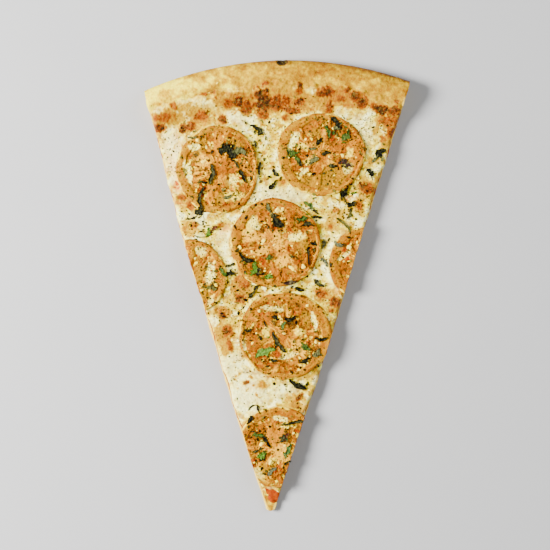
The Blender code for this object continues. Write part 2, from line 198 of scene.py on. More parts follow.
# What fills the rounds, in the form of BROWNED with a colour in place of the depth
FILLINGS = [
    (-29.6, 74.0, 2.4, 7.0, 0, FLESH_PEACH), (-15.6, 61.0, 4.8, 5.6, 0, FLESH_PEACH),
    (-26.0, 60.4, 5.4, 4.6, 0, FLESH_SALMON), (-29.6, 57.6, 1.8, 2.2, 0, GEL_ORANGE),
    (-32.6, 46.6, 3.2, 5.2, 0, FLESH_PEACH), (-41.2, 71.0, 6.0, 6.0, 0, GEL_YELLOW),
    (-38.4, 63.4, 3.8, 3.6, 0, FLESH_PALE), (-20.0, 72.0, 4.0, 3.0, -35, GEL_YELLOW),
    (-20.6, 53.0, 4.2, 3.6, 20, PULP_CREAM), (-25.0, 52.4, 1.6, 2.6, 0, GEL_YELLOW),
    (-17.0, 49.6, 3.0, 2.2, 30, GEL_ORANGE), (-22.4, 45.4, 5.0, 2.6, 0, PULP_CREAM),
    (-28.6, 44.0, 1.8, 3.4, 0, GEL_YELLOW), (-33.6, 53.2, 2.0, 2.0, 0, GEL_YELLOW),
    (17.5, 80.0, 6.6, 4.4, 0, FLESH_SALMON), (19.4, 77.4, 2.6, 3.2, 0, GEL_YELLOW),
    (28.1, 76.0, 1.3, 2.8, -10, GEL_RED), (31.0, 70.0, 5.2, 2.2, 0, FLESH_SALMON),
    (22.6, 65.2, 2.6, 2.4, 0, FLESH_SALMON), (38.6, 68.0, 3.4, 9.0, 0, FLESH_PEACH),
    (12.6, 70.6, 2.8, 1.7, 0, PULP_CREAM), (36.8, 66.8, 1.8, 3.0, 0, PULP_CREAM),
    (27.0, 53.6, 8.0, 5.6, 0, GEL_YELLOW), (16.4, 52.4, 5.4, 3.2, -20, GEL_YELLOW),
    (20.6, 58.6, 2.2, 2.6, 0, FLESH_SALMON), (33.4, 56.4, 3.4, 3.4, 0, GEL_YELLOW),
    (15.6, 62.4, 1.4, 2.4, -30, PULP_CREAM), (12.2, 66.0, 2.0, 2.6, 0, GEL_ORANGE),
    (0.6, 22.0, 5.4, 7.2, 0, FLESH_PEACH), (0.6, 22.6, 3.2, 4.6, 0, FLESH_PALE),
    (-14.0, 24.8, 5.6, 3.0, 0, FLESH_PALE), (-8.0, 17.4, 3.4, 1.8, 25, FLESH_PALE),
    (2.8, 12.6, 3.0, 2.8, 0, FLESH_PALE), (-7.8, 35.6, 3.2, 2.6, -40, FLESH_SALMON),
    (9.6, 35.2, 5.6, 4.4, 0, GEL_ORANGE), (9.9, 24.6, 4.6, 2.0, 0, PULP_CREAM),
    (-8.2, 28.9, 1.9, 1.9, 0, PULP_BROWN), (-1.4, 29.8, 1.5, 1.7, 0, GEL_RED),
    (6.4, 28.2, 1.5, 1.5, 0, GEL_RED), (8.8, 28.8, 1.5, 1.2, 0, GEL_YELLOW),
    (6.4, 18.8, 1.4, 1.4, 0, GEL_RED), (8.8, 18.0, 1.5, 1.5, 0, GEL_ORANGE),
    (-2.0, 16.2, 1.7, 1.7, 0, GEL_ORANGE), (-7.6, 13.8, 1.5, 1.6, 0, GEL_RED),
    (-9.8, 32.2, 1.7, 1.7, 0, GEL_YELLOW), (-13.6, 31.0, 2.2, 4.4, -30, PULP_CREAM),
    (14.4, 12.6, 5.0, 4.6, 0, GEL_ORANGE), (-0.6, 6.2, 6.4, 3.4, 0, FLESH_SALMON),
    (14.0, 20.6, 3.0, 3.0, 0, GEL_YELLOW), (-13.0, 9.6, 3.0, 4.0, 30, GEL_ORANGE),
    (-14.0, -14.6, 3.4, 6.0, -25, FLESH_PEACH), (-7.6, -26.4, 3.2, 3.2, 0, GEL_YELLOW),
    (1.3, -11.4, 5.0, 1.8, 0, GEL_YELLOW), (-6.0, -16.6, 2.2, 5.0, -45, FLESH_SALMON),
    (7.2, -19.6, 2.6, 3.0, 0, PULP_BROWN), (-5.6, -23.4, 2.0, 2.4, 0, PULP_CREAM),
    (5.6, -33.4, 3.4, 2.0, 20, PULP_CREAM), (10.8, -23.2, 2.6, 1.8, 0, PULP_CREAM),
    (16.0, -28.6, 1.8, 1.4, 0, GEL_RED), (0.2, -34.6, 1.5, 1.5, 0, GEL_RED),
    (12.0, -31.4, 3.0, 4.4, 35, FLESH_PALE), (-12.6, -27.0, 3.4, 4.4, 20, GEL_ORANGE),
    (2.6, -26.6, 1.8, 6.4, -40, FLESH_SALMON), (15.0, -16.6, 2.4, 4.4, 10, GEL_YELLOW),
    (-3.6, -30.8, 2.6, 2.0, 0, GEL_ORANGE), (9.6, -37.4, 4.2, 2.0, 10, FLESH_PEACH),
    (-41.0, 16.4, 4.0, 3.6, 0, GEL_YELLOW), (-40.0, 6.0, 3.4, 6.0, 0, GEL_YELLOW),
    (-37.4, -5.0, 3.0, 3.6, 0, GEL_YELLOW), (-43.6, 8.0, 2.2, 5.0, 0, GEL_ORANGE),
    (33.4, 19.4, 2.4, 4.6, 20, GEL_RED), (34.0, 10.0, 2.4, 4.0, 20, GEL_ORANGE),
    (36.0, 15.0, 1.6, 3.4, 0, FLESH_PEACH), (0.0, -75.0, 7.0, 6.0, 0, FLESH_PEACH),
    (-9.6, -73.6, 2.6, 2.6, 0, GEL_ORANGE), (3.0, -85.0, 4.6, 5.0, 0, FLESH_PALE),
    (-6.4, -92.4, 3.4, 2.8, 0, GEL_YELLOW), (-6.8, -98.6, 2.6, 2.6, 0, WALL_GOLD_AND_HIGHLIGHT),
    (0.0, -96.0, 3.0, 3.4, 0, GEL_ORANGE), (5.0, -70.4, 3.2, 1.6, 0, PULP_CREAM),
    (-2.0, -88.6, 2.4, 2.0, 0, PULP_CREAM), (1.4, -91.0, 1.6, 2.2, 0, GEL_RED),
]

# Cream-coloured cheese that lies in a round's empty seed cells, in the same form
CREAM = [
    (-44.9, 57.8, 1.7, 5.2, 14, 1.0), (-41.6, 70.2, 2.4, 1.6, 10, 0.9), (8.4, 73.6, 2.0, 5.4, -30, 1.0),
    (18.8, -17.4, 1.2, 5.2, 14, 1.0), (-33.8, 5.8, 2.3, 5.4, -12, 0.9), (-16.9, -30.8, 1.2, 3.0, 5, 0.9),
    (-11.2, 31.1, 2.2, 3.0, 20, 0.5), (9.4, 25.0, 3.6, 1.6, 0, 0.7), (-38.6, 17.6, 2.4, 2.2, 0, 0.5),
    (-9.4, -96.4, 2.6, 4.0, 0, 0.3), (2.0, -67.2, 3.2, 1.2, -10, 0.9), (5.6, -35.4, 4.2, 1.0, 12, 0.7),
    (-22.6, 53.2, 2.0, 2.4, 0, 0.6), (33.5, 15.2, 1.0, 3.6, -55, 0.7), (-2.0, -11.4, 5.0, 1.4, -8, 0.5),
    (14.0, 58.2, 2.8, 1.2, 40, 0.7), (-33.0, -9.6, 1.8, 3.4, 20, 0.6), (35.6, 60.0, 2.4, 3.0, 0, 0.4),
]

# Wilted basil: x, y, length, width, turn in degrees, tone
LEAVES = [
    (-26.2, 68.6, 7.0, 5.2, 10, "black"), (-23.2, 67.2, 6.4, 5.0, -60, "black"), (-19.0, 67.6, 6.0, 4.2, 5, "grey"),
    (-10.2, 79.2, 8.6, 3.2, -36, "black"), (-8.4, 77.8, 4.0, 2.4, 60, "dark"), (-11.1, 71.8, 4.0, 1.6, -80, "dark"),
    (-8.4, 59.3, 6.6, 1.7, 86, "dark"), (-0.4, 57.6, 5.0, 1.9, -50, "dark"), (-2.2, 51.4, 6.0, 2.4, 48, "black"),
    (-34.0, 56.4, 10.5, 2.5, 84, "dark"), (-17.0, 55.6, 6.6, 2.1, -65, "black"), (-20.6, 61.4, 4.6, 1.3, -52, "dark"),
    (-37.5, 44.3, 10.5, 2.4, 86, "dark"), (-39.4, 37.2, 4.6, 3.8, 20, "black"), (-43.6, 34.8, 5.4, 1.1, 14, "dark"),
    (-38.8, 25.3, 5.8, 0.8, -4, "grey"), (-35.2, 27.2, 4.8, 2.5, 76, "bright"), (-31.7, 28.6, 4.8, 2.1, 50, "rust"),
    (0.6, 32.2, 6.6, 4.6, -40, "black"), (-1.4, 35.0, 3.6, 2.0, 20, "dark"), (-4.1, 39.4, 5.2, 2.1, -70, "grey"),
    (12.6, 33.9, 5.6, 3.8, 10, "green"), (14.9, 30.9, 4.8, 2.8, 5, "dark"), (15.7, 40.7, 5.6, 2.3, -36, "green"),
    (19.7, 38.0, 4.8, 1.1, -50, "dark"), (20.4, 34.8, 4.8, 2.3, -8, "black"), (7.8, 68.0, 5.8, 2.7, -6, "green"),
    (9.6, 64.4, 4.6, 2.6, -50, "green"), (11.2, 62.0, 4.6, 2.0, -62, "dark"), (18.7, 63.2, 4.8, 3.2, 42, "grey"),
    (17.8, 69.4, 3.8, 1.9, 0, "grey"), (24.4, 66.8, 3.8, 2.3, 20, "dark"), (29.4, 82.6, 7.2, 2.7, -50, "black"),
    (30.2, 80.0, 3.2, 2.2, -20, "grey"), (25.2, 77.8, 6.0, 2.1, -70, "green"), (34.5, 76.0, 6.0, 3.9, 48, "green"),
    (21.3, 72.5, 3.5, 2.8, 30, "black"), (33.2, 62.8, 4.6, 2.6, 25, "plum"), (36.0, 61.4, 4.2, 2.2, -25, "plum"),
    (52.6, 66.9, 6.4, 4.2, 46, "black"), (49.4, 64.4, 4.8, 1.9, 50, "grey"), (47.2, 57.4, 5.2, 3.2, -48, "black"),
    (34.2, 46.6, 7.0, 2.8, 62, "black"), (37.5, 41.6, 4.4, 3.2, 32, "black"), (38.8, 47.0, 2.8, 1.2, 10, "bright"),
    (33.5, 31.2, 8.8, 1.9, -44, "olive"), (36.3, 36.3, 5.2, 1.9, 70, "olive"), (18.3, 20.9, 3.9, 1.8, -15, "black"),
    (15.9, 14.4, 11.0, 1.2, -86, "black"), (23.5, 21.2, 4.4, 2.2, 80, "dark"), (30.8, 21.2, 4.8, 2.3, -36, "slate"),
    (24.1, 12.1, 5.2, 2.6, -55, "slate"), (21.2, 1.7, 6.2, 3.6, -40, "dark"), (11.4, -1.5, 4.9, 2.5, -14, "black"),
    (6.1, 2.2, 8.0, 2.1, 8, "plum"), (-10.1, -0.9, 4.2, 1.7, 42, "black"), (-12.7, -4.2, 4.8, 2.3, 50, "dark"),
    (-15.4, 14.9, 9.0, 2.4, -33, "black"), (-12.4, 8.9, 8.4, 3.1, 76, "bright"), (-9.6, 7.4, 4.4, 1.7, 70, "dark"),
    (-4.6, 14.6, 3.3, 2.4, 50, "green"), (-4.2, 4.3, 4.3, 2.7, 15, "bright"), (-27.3, 6.8, 6.2, 2.7, -52, "green"),
    (-23.8, 6.2, 4.8, 2.7, 15, "black"), (-33.2, -1.4, 5.2, 3.0, -8, "olive"), (-22.4, 10.9, 2.4, 1.7, 30, "dark"),
    (6.6, -15.9, 6.6, 2.1, 16, "black"), (3.4, -20.0, 3.9, 2.1, 75, "teal"), (1.2, -28.2, 12.4, 3.0, -56, "dark"),
    (-5.9, -34.0, 11.2, 4.0, 20, "pale"), (-1.9, -37.3, 4.8, 2.0, -10, "black"), (14.4, -30.3, 6.4, 3.1, -36, "green"),
    (19.8, -33.8, 4.9, 3.1, 45, "grey"), (22.4, -26.0, 6.8, 1.9, 4, "black"), (13.9, -37.7, 4.2, 2.4, 32, "black"),
    (-1.2, -16.2, 3.8, 2.4, -30, "black"), (-5.8, -19.2, 3.8, 1.3, -62, "dark"), (-14.1, -22.6, 2.9, 2.0, 40, "dark"),
    (10.6, -49.6, 9.0, 3.1, -30, "black"), (-12.6, -61.6, 4.6, 0.9, 35, "black"), (-9.4, -62.4, 4.4, 1.2, -70, "black"),
    (-13.9, -67.8, 5.0, 2.4, 58, "black"), (8.7, -69.2, 9.4, 2.0, 13, "dark"), (2.3, -76.8, 4.9, 2.7, 74, "dark"),
    (5.0, -76.4, 4.3, 2.2, 70, "rust"), (5.8, -82.4, 5.8, 3.0, 68, "teal"), (-9.4, -75.7, 6.4, 2.5, -8, "green"),
    (-5.2, -78.2, 8.2, 2.1, -58, "black"), (-7.8, -85.4, 4.9, 3.5, 25, "bright"), (-10.8, -83.3, 3.3, 1.6, 20, "dark"),
    (5.4, -89.5, 4.0, 1.6, 30, "dark"), (-2.4, -94.0, 5.8, 2.1, 46, "slate"), (-25.0, 45.4, 4.9, 2.1, 20, "grey"),
    (-42.8, 75.3, 4.4, 1.6, 4, "grey"), (3.0, -69.6, 2.6, 1.2, 40, "dark"), (27.6, 60.6, 3.4, 1.8, -10, "dark"),
]
TONES = {
    "black": (6, 6, 2), "dark": (24, 22, 6), "olive": (70, 66, 18), "grey": (84, 86, 48),
    "green": (50, 76, 18), "bright": (68, 106, 14), "teal": (58, 92, 40), "pale": (84, 124, 38),
    "slate": (84, 88, 66), "plum": (54, 32, 28), "rust": (82, 34, 16),
}

# Cheese that has only turned yellow or orange, in the form of BROWNED
GOLDEN = [
    (-6.6, 102.6, 7.0, 3.4, 0, 0.40), (-19.5, 95.0, 6.5, 3.0, 0, 0.50), (-28.6, 96.0, 4.2, 3.0, 0, 0.42),
    (-55.0, 85.4, 5.6, 3.8, 0, 0.44), (-39.0, 85.0, 6.0, 4.4, 0, 0.44), (-46.0, 90.6, 5.0, 2.6, 20, 0.26),
    (9.9, 104.6, 6.4, 3.4, 0, 0.42), (36.0, 104.4, 10.0, 2.4, -5, 0.38), (51.3, 95.2, 5.4, 3.4, 0, 0.28),
    (56.0, 82.8, 5.6, 4.6, 0, 0.46), (25.4, 90.4, 3.2, 5.0, 0, 0.50), (49.8, 82.0, 2.6, 4.6, 0, 0.32),
    (56.0, 74.0, 3.4, 5.6, 0, 0.36), (-44.0, 29.4, 4.4, 4.4, 0, 0.26), (-18.0, -2.0, 5.0, 7.4, 0, 0.42),
    (-27.0, -14.0, 4.6, 3.4, 0, 0.40), (-27.0, -25.0, 6.0, 6.0, 0, 0.38), (23.0, -4.0, 5.0, 3.4, 0, 0.42),
    (29.6, -9.2, 4.4, 4.0, 0, 0.42), (29.8, 34.6, 5.0, 6.6, 0, 0.22), (-25.6, -31.0, 3.8, 4.0, 0, 0.36),
    (-7.6, -49.6, 3.2, 2.4, 0, 0.26), (8.6, -57.0, 5.4, 3.0, 0, 0.24), (-15.4, -73.5, 3.0, 4.4, 0, 0.46),
    (45.0, 49.0, 5.2, 4.4, 0, 0.40), (41.6, 40.6, 3.2, 4.0, 0, 0.36), (2.8, 52.4, 4.0, 2.6, 0, 0.22),
    (27.0, 30.4, 3.0, 3.0, 0, 0.28), (-12.6, 64.0, 2.6, 6.0, 0, 0.16), (0.0, 92.0, 22.0, 6.0, 0, 0.50),
    (33.0, 95.8, 13.0, 5.0, -4, 0.50), (13.0, -46.0, 4.0, 2.4, 20, 0.20), (-22.0, 22.0, 2.4, 5.0, 0, 0.20),
]
# Pale cheese that stands out in the browned band, in the same form
PALE = [
    (-24.0, 100.2, 3.8, 1.8, -10, 0.9), (42.1, 100.5, 3.6, 2.2, 0, 0.9), (-34.5, 91.0, 3.4, 2.6, 0, 0.8),
    (-16.4, 84.0, 4.6, 2.6, 20, 0.9), (17.6, 98.6, 2.6, 1.8, 0, 0.7), (19.6, 104.6, 2.6, 2.6, 0, 0.6),
    (-45.6, 94.4, 4.0, 1.8, 20, 0.7), (13.0, 86.4, 2.4, 1.2, 0, 0.6), (44.8, 84.6, 5.4, 5.4, 0, 0.9),
    (-31.0, 81.4, 3.0, 1.4, 20, 0.8), (2.6, 87.6, 1.8, 1.4, 0, 0.6), (31.4, 89.4, 3.4, 1.6, -10, 0.7),
    (-54.2, 78.2, 2.2, 1.6, 0, 0.7), (-10.6, 99.0, 2.0, 1.0, 0, 0.6),
]

FLECK_COUNT = 6000

# Crumbs of hard cheese and garlic: x, y, size
CRUMBS = [
    (-42.3, 69.6, 3.4), (-40.0, 73.8, 2.4), (-36.0, 70.0, 2.2), (-37.0, 62.8, 2.6), (-37.2, 51.6, 2.8),
    (-23.2, 53.4, 2.8), (-27.0, 49.0, 2.0), (0.4, 38.6, 3.6), (3.0, 39.2, 2.8), (-6.7, 22.8, 3.2),
    (-18.8, 19.4, 2.8), (8.2, 25.4, 2.8), (11.4, 24.6, 2.2), (-12.8, 17.6, 2.0), (6.8, 9.6, 2.4),
    (13.4, 9.8, 2.4), (36.3, 19.4, 3.4), (19.8, -28.2, 2.4), (11.3, -22.7, 2.4), (3.5, -23.8, 2.0),
    (8.6, -35.0, 2.0), (-8.1, -80.2, 3.4), (2.4, -66.8, 3.0), (4.0, -80.6, 2.2), (-3.6, -81.0, 1.6),
    (-3.3, -89.2, 2.6), (12.4, 59.0, 2.4), (15.0, 61.4, 1.8), (33.0, 66.0, 2.4), (36.4, 67.4, 1.8),
    (10.0, 77.0, 2.2), (-31.6, 12.0, 2.2), (-33.6, -10.0, 2.2), (15.4, -9.8, 1.8), (-9.0, -12.6, 1.6),
]


def smooth(value):
    value = np.clip(value, 0.0, 1.0)
    return value * value * (3 - 2 * value)


def mix(a, b, share):
    return a + (b - a) * share


# ---------------------------------------------------------------- noise


def lattice(ix, iy, seed):
    """A repeatable number in 0..1 for each whole-numbered place."""
    mask = 0xFFFFFFFF
    value = (ix * 374761393 + iy * 668265263 + seed * 2246822519) & mask
    value = ((value ^ (value >> 13)) * 1274126177) & mask
    return ((value ^ (value >> 16)) & 0xFFFF) / 0xFFFF


def noise(x, y, size, seed=0):
    """Smooth noise of about -1..1, with lumps about size across."""
    gx, gy = np.asarray(x) / size + 100.5, np.asarray(y) / size + 100.5
    ix, iy = np.floor(gx).astype(np.int64), np.floor(gy).astype(np.int64)
    fx, fy = gx - ix, gy - iy

    def corner(dx, dy):
        angle = math.tau * lattice(ix + dx, iy + dy, seed)
        return np.cos(angle) * (fx - dx) + np.sin(angle) * (fy - dy)

    wx = smooth(fx)
    low = mix(corner(0, 0), corner(1, 0), wx)
    high = mix(corner(0, 1), corner(1, 1), wx)
    return 1.5 * mix(low, high, smooth(fy))


def rough(x, y, size, seed=0, octaves=3):
    """Noise with finer and fainter lumps on the large ones."""
    total = 0.0
    for k in range(octaves):
        total = total + noise(x * 0.8 - y * 0.6, x * 0.6 + y * 0.8, size, seed + 17 * k) / 2**k
        x, y, size = x * 0.8 - y * 0.6, x * 0.6 + y * 0.8, size / 2
    return total / 1.5


def cells(x, y, size, seed=0):
    """Cells round scattered points.

    Gives the distance to the nearest and to the second nearest point, in cell sizes, and a random number
    from 0 to 1 for each cell.
    """
    gx, gy = np.asarray(x) / size + 100, np.asarray(y) / size + 100
    ix, iy = np.floor(gx).astype(np.int64), np.floor(gy).astype(np.int64)
    first = np.full(gx.shape, 9.0)
    second = np.full(gx.shape, 9.0)
    own = np.zeros(gx.shape)
    for dx in (-1, 0, 1):
        for dy in (-1, 0, 1):
            px = ix + dx + lattice(ix + dx, iy + dy, seed)
            py = iy + dy + lattice(ix + dx, iy + dy, seed + 5)
            distance = np.hypot(px - gx, py - gy)
            own = np.where(distance < first, lattice(ix + dx, iy + dy, seed + 9), own)
            second = np.minimum(second, np.maximum(first, distance))
            first = np.minimum(first, distance)
    return first, second, own


def shards(x, y, size, seed):
    """Torn little areas: a random number for each of them, and the distance from their borders."""
    wx = x + 0.5 * size * noise(x, y, 0.8 * size, seed + 1)
    wy = y + 0.5 * size * noise(x, y, 0.8 * size, seed + 2)
    first, second, own = cells(wx, wy, size, seed)
    return own, second - first


def above(value, edge, soft):
    """0 where value is under edge and 1 where it is over, with a step that is soft wide."""
    return smooth((value - edge) / soft + 0.5)


def spots(x, y, places, soft=0.9, ragged=0.3):
    """The strongest of the listed spots at each point, with ragged edges."""
    warp = ragged * (0.9 * rough(x, y, 3.0, 3) + 0.6 * noise(x, y, 1.2, 4) + 0.5 * noise(x, y, 6, 5))
    strongest = np.zeros_like(x)
    for px, py, across, along, turn, strength in places:
        near = np.hypot(x - px, y - py) < 3 * max(across, along)
        c, s = math.cos(math.radians(turn)), math.sin(math.radians(turn))
        dx, dy = x[near] - px, y[near] - py
        reach = np.hypot((dx * c + dy * s) / across, (dy * c - dx * s) / along) + warp[near]
        level = strength * (1 - smooth((reach - 1 + soft / 2) / soft))
        strongest[near] = np.maximum(strongest[near], level)
    return strongest


# ---------------------------------------------------------------- outline


def rim_point(u):
    """The outer arc, from its left end at u = 0 to its right end at u = 1."""
    start = math.asin((-WIDTH / 2 - RIM_ARC_SHIFT) / RIM_ARC_RADIUS)
    end = math.asin((WIDTH / 2 - RIM_ARC_SHIFT) / RIM_ARC_RADIUS)
    angle = mix(start, end, u)
    return np.stack(
        [
            RIM_ARC_SHIFT + RIM_ARC_RADIUS * np.sin(angle),
            LENGTH / 2 - RIM_ARC_RADIUS + RIM_ARC_RADIUS * np.cos(angle),
        ],
        -1,
    )


def tip_point(u):
    u = np.asarray(u, float)
    along = mix(np.array(TIP_LEFT), np.array(TIP_RIGHT), u[..., None])
    along[..., 1] -= TIP_ROUNDING * np.sin(math.pi * u)
    return along


def cut_bulge(u, v):
    """How far the lines from the tip to the rim bend to -X."""
    bow = LEFT_BOW * (1 - u) ** 2 - RIGHT_BOW * u**2
    wave = 0.35 * (1 - 2 * u) * np.sin(11 * v + 4 * u)
    return (bow + wave) * np.sin(math.pi * v)


def plan_point(u, v):
    """The place seen from above. u runs from the left cut to the right cut, v from tip to rim."""
    u, v = np.broadcast_arrays(np.asarray(u, float), np.asarray(v, float))
    start = tip_point(u)
    ray = rim_point(u) - start
    outwards = np.stack([-ray[..., 1], ray[..., 0]], -1) / np.linalg.norm(ray, axis=-1)[..., None]
    return start + ray * v[..., None] + outwards * cut_bulge(u, v)[..., None]


def rim_inset(x, y):
    """The distance in from the outer arc."""
    return RIM_ARC_RADIUS - np.hypot(x - RIM_ARC_SHIFT, y - LENGTH / 2 + RIM_ARC_RADIUS)


def cut_inset(x, y, side):
    """The distance in from the left cut, side 0, or the right cut, side 1, and the share of the way along it."""
    start = tip_point(side)
    ray = rim_point(side) - start
    length = np.hypot(*ray)
    along = ((x - start[0]) * ray[0] + (y - start[1]) * ray[1]) / length**2
    away = ((x - start[0]) * ray[1] - (y - start[1]) * ray[0]) / length
    inside = (away + cut_bulge(side, np.clip(along, 0, 1))) * (1 - 2 * side)
    return inside, along


def tip_distance(y):
    return y + LENGTH / 2


# ---------------------------------------------------------------- heights


def dough_ragged(v, side):
    """How far the dough's cut wanders inwards."""
    return 0.3 + 0.3 * noise(v * 230, 40 * side, 7, 21) + 0.15 * noise(v * 230, 40 * side, 2, 22)


def cheese_ragged(v, side):
    """How far the cheese has drawn back from the cut, most at the left near the tip."""
    drawn = 0.8 + 0.7 * smooth((0.62 - v) * 3) * (1 - side)
    wander = 0.8 * noise(v * 230, 40 * side, 11, 25) + 0.45 * noise(v * 230, 40 * side, 3.5, 26)
    return np.clip(drawn + wander, 0.1, 3.0)


def sauce_ragged(v, side):
    near_tip = 2.2 * smooth((0.08 - v) / 0.03) * (1 - side)
    return np.maximum(0.35, cheese_ragged(v, side) * 0.7 + 0.25 * noise(v * 230, 40 * side, 3, 24)) + near_tip


def dough_top(x, y):
    inset = rim_inset(x, y)
    along = tip_distance(y) / LENGTH
    base = mix(TIP_THICKNESS, BASE_THICKNESS, smooth(along * 1.6))
    crest = RIM_HEIGHT + 0.7 * noise(x, 0 * x, 31, 31) + 0.35 * noise(x, y, 12, 32)
    fall = smooth((inset - RIM_TOP_INSET) / (RIM_WIDTH - RIM_TOP_INSET))
    inner = mix(crest, base, fall)
    round_off = np.sqrt(np.clip(1 - (1 - inset / RIM_TOP_INSET) ** 2, 0, 1))
    outer = mix(RIM_MIDDLE_HEIGHT, crest, round_off)
    height = np.where(inset > RIM_TOP_INSET, inner, outer)
    rim_share = (1 - fall) * smooth(inset / 2)
    height = height + rim_share * (0.30 * rough(x, y, 5, 33) + 0.08 * noise(x, y, 1.1, 34))
    pores = cells(x, y, 3.1, 35)[0]
    height = height - 0.3 * rim_share * smooth((0.16 - pores) / 0.1)
    blister = blister_reach(x, y)
    height = height + 0.7 * np.exp(-(((blister - 1.1) / 0.3) ** 2)) - 0.9 * smooth((1.05 - blister) / 0.4)
    for side in (0, 1):
        near, _ = cut_inset(x, y, side)
        height = height - 0.35 * smooth((1.4 - near) / 1.4) * smooth((inset - 1) / 4)
    return np.maximum(height, 1.2)


def blister_reach(x, y):
    """0 in the middle of the burst blister on the outer rim and 1 at its lip."""
    return np.hypot((x - 2.7) / 2.9, (y - 112.9) / 2.0) + 0.15 * noise(x, y, 1.6, 36)


def dough_low(x, y):
    inset = rim_inset(x, y)
    round_off = np.sqrt(np.clip(1 - (1 - inset / RIM_FOOT_INSET) ** 2, 0, 1))
    return np.where(inset > RIM_FOOT_INSET, 0.0, RIM_MIDDLE_HEIGHT * (1 - round_off))


def sauce_cover(x, y):
    """1 where there is sauce, 0 on the bare dough."""
    inset = rim_inset(x, y)
    rimwards = smooth((inset - 15 - 1.5 * rough(x, y, 9, 41)) / 4)
    tipwards = smooth((tip_distance(y) - 5.0 - 2.2 * rough(x, y, 3, 42) + 0.7 * (x + 3)) / 2.2)
    return rimwards * tipwards


def sauce_top(x, y):
    lumps = 0.3 * rough(x, y, 3.2, 43)
    return dough_top(x, y) - 0.3 + (SAUCE_THICKNESS + lumps + 0.3) * sauce_cover(x, y)


def browning(x, y):
    """How far the cheese has toasted: 0.3 is yellow, 0.5 orange, 0.8 red-brown and 1 nearly black."""
    fine = noise(x, y, 1.0, 45)
    islands = spots(x, y, PALE, soft=0.8, ragged=0.45)
    yellow = 0.78 * spots(x, y, GOLDEN, soft=0.9, ragged=0.6) * (1 - islands)
    halo = 0.36 * spots(x, y, BROWNED, soft=1.9, ragged=0.6)
    core = spots(x, y, BROWNED, soft=0.85, ragged=0.55)
    level = np.maximum(np.maximum(yellow, halo), 1.10 * core)
    band = np.exp(-(((rim_inset(x, y) - 18.5 - 3.4 * rough(x, y, 13, 50)) / 3.6) ** 2))
    band = band * (0.26 + 0.14 * smooth((x + 45) / 30)) * (0.85 + 0.9 * rough(x, y, 3.2, 60))
    level = np.maximum(level, band * (1 - islands))
    rimward = 1 - smooth((rim_inset(x, y) - 13 - 2 * rough(x, y, 5, 49)) / 6)
    level = np.maximum(level, (0.10 + 0.15 * smooth((x + 40) / 40)) * rimward)
    freckles = above(rough(x, y, 2.8, 46), 0.42, 0.4) * above(rough(x, y, 12, 47), 0.05, 0.5)
    level = np.maximum(level, 0.34 * freckles)
    return level * (0.96 + 0.26 * fine + 0.18 * noise(x, y, 0.6, 48)) * (1 - 0.6 * islands)


def cheese_cover(x, y):
    """0..1 from the cheese's free edge at the rim and the tip inwards."""
    inset = rim_inset(x, y)
    edge = 10.5 + 2.8 * rough(x, y, 10, 51) + 1.1 * noise(x, y, 2.6, 52)
    melted_far = 3.5 * spots(x, y, GOLDEN, soft=1.4)
    rimwards = smooth((inset - edge + melted_far) / 6.0)
    tipwards = smooth((tip_distance(y) - 9.9 - 1.2 * rough(x, y, 3, 53) + 0.25 * x) / 1.3)
    return rimwards * tipwards


def round_reach(x, y, name):
    """0 at the middle of a tomato round and 1 at its skin, and the angle round it."""
    cx, cy, radius_x, radius_y = TOMATOES[name][:4]
    dx, dy = (x - cx) / radius_x, (y - cy) / radius_y
    angle = np.arctan2(dy, dx)
    wobble = 0.012 * np.sin(3 * angle + cx) + 0.010 * np.sin(5 * angle + cy) + 0.006 * np.sin(11 * angle + cx)
    return np.hypot(dx, dy) * (1 + wobble), angle


def round_floor(name):
    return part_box(name)[0].z / MM


def cheese_top(x, y, pockets=True):
    cover = cheese_cover(x, y)
    under = dough_top(x, y) + SAUCE_THICKNESS * smooth((rim_inset(x, y) - 13) / 8)
    thickness = CHEESE_THICKNESS + 0.42 * noise(x, y, 15, 54) + 0.38 * rough(x, y, 6, 55)
    thickness = thickness + 0.22 * rough(x, y, 2.0, 56, 2) + 0.05 * noise(x, y, 1.0, 58)
    browned = browning(x, y)
    near = cells(x, y, 1.6, 57)[0]
    thickness = thickness + browned * (0.30 + 0.8 * (0.5 - near))
    thickness = thickness - 0.8 * spots(x, y, BLUSHED, soft=1.4)
    thickness = thickness + 0.45 * spots(x, y, WHITE, soft=1.5)
    for name, (cx, cy, radius_x, radius_y, _ribs) in TOMATOES.items():
        reach, _ = round_reach(x, y, name)
        beyond = (reach - 1) * (radius_x + radius_y) / 2
        climb = 0.85 * (0.75 + 0.7 * noise(x, y, 7, 59))
        thickness = thickness + climb * np.exp(-(((beyond - 0.1) / 1.4) ** 2))
    for side in (0, 1):
        near_cut, along = cut_inset(x, y, side)
        rounded = np.clip((near_cut - cheese_ragged(along, side)) / 1.7, 0, 1)
        thickness = thickness * (0.22 + 0.78 * np.sqrt(1 - (1 - rounded) ** 2))
    height = under - 0.3 + (thickness + 0.3) * cover
    if pockets:
        for name in TOMATOES:
            cx, cy, radius_x, radius_y = TOMATOES[name][:4]
            reach, _ = round_reach(x, y, name)
            inside = (1 - reach) * (radius_x + radius_y) / 2
            bottom = np.minimum(height, round_floor(name) - 0.15)
            height = mix(height, bottom, smooth((inside - 0.5) / 1.3))
    return height


def cheese_low(x, y):
    return np.minimum(sauce_top(x, y) - 0.05, cheese_top(x, y) - 0.25)


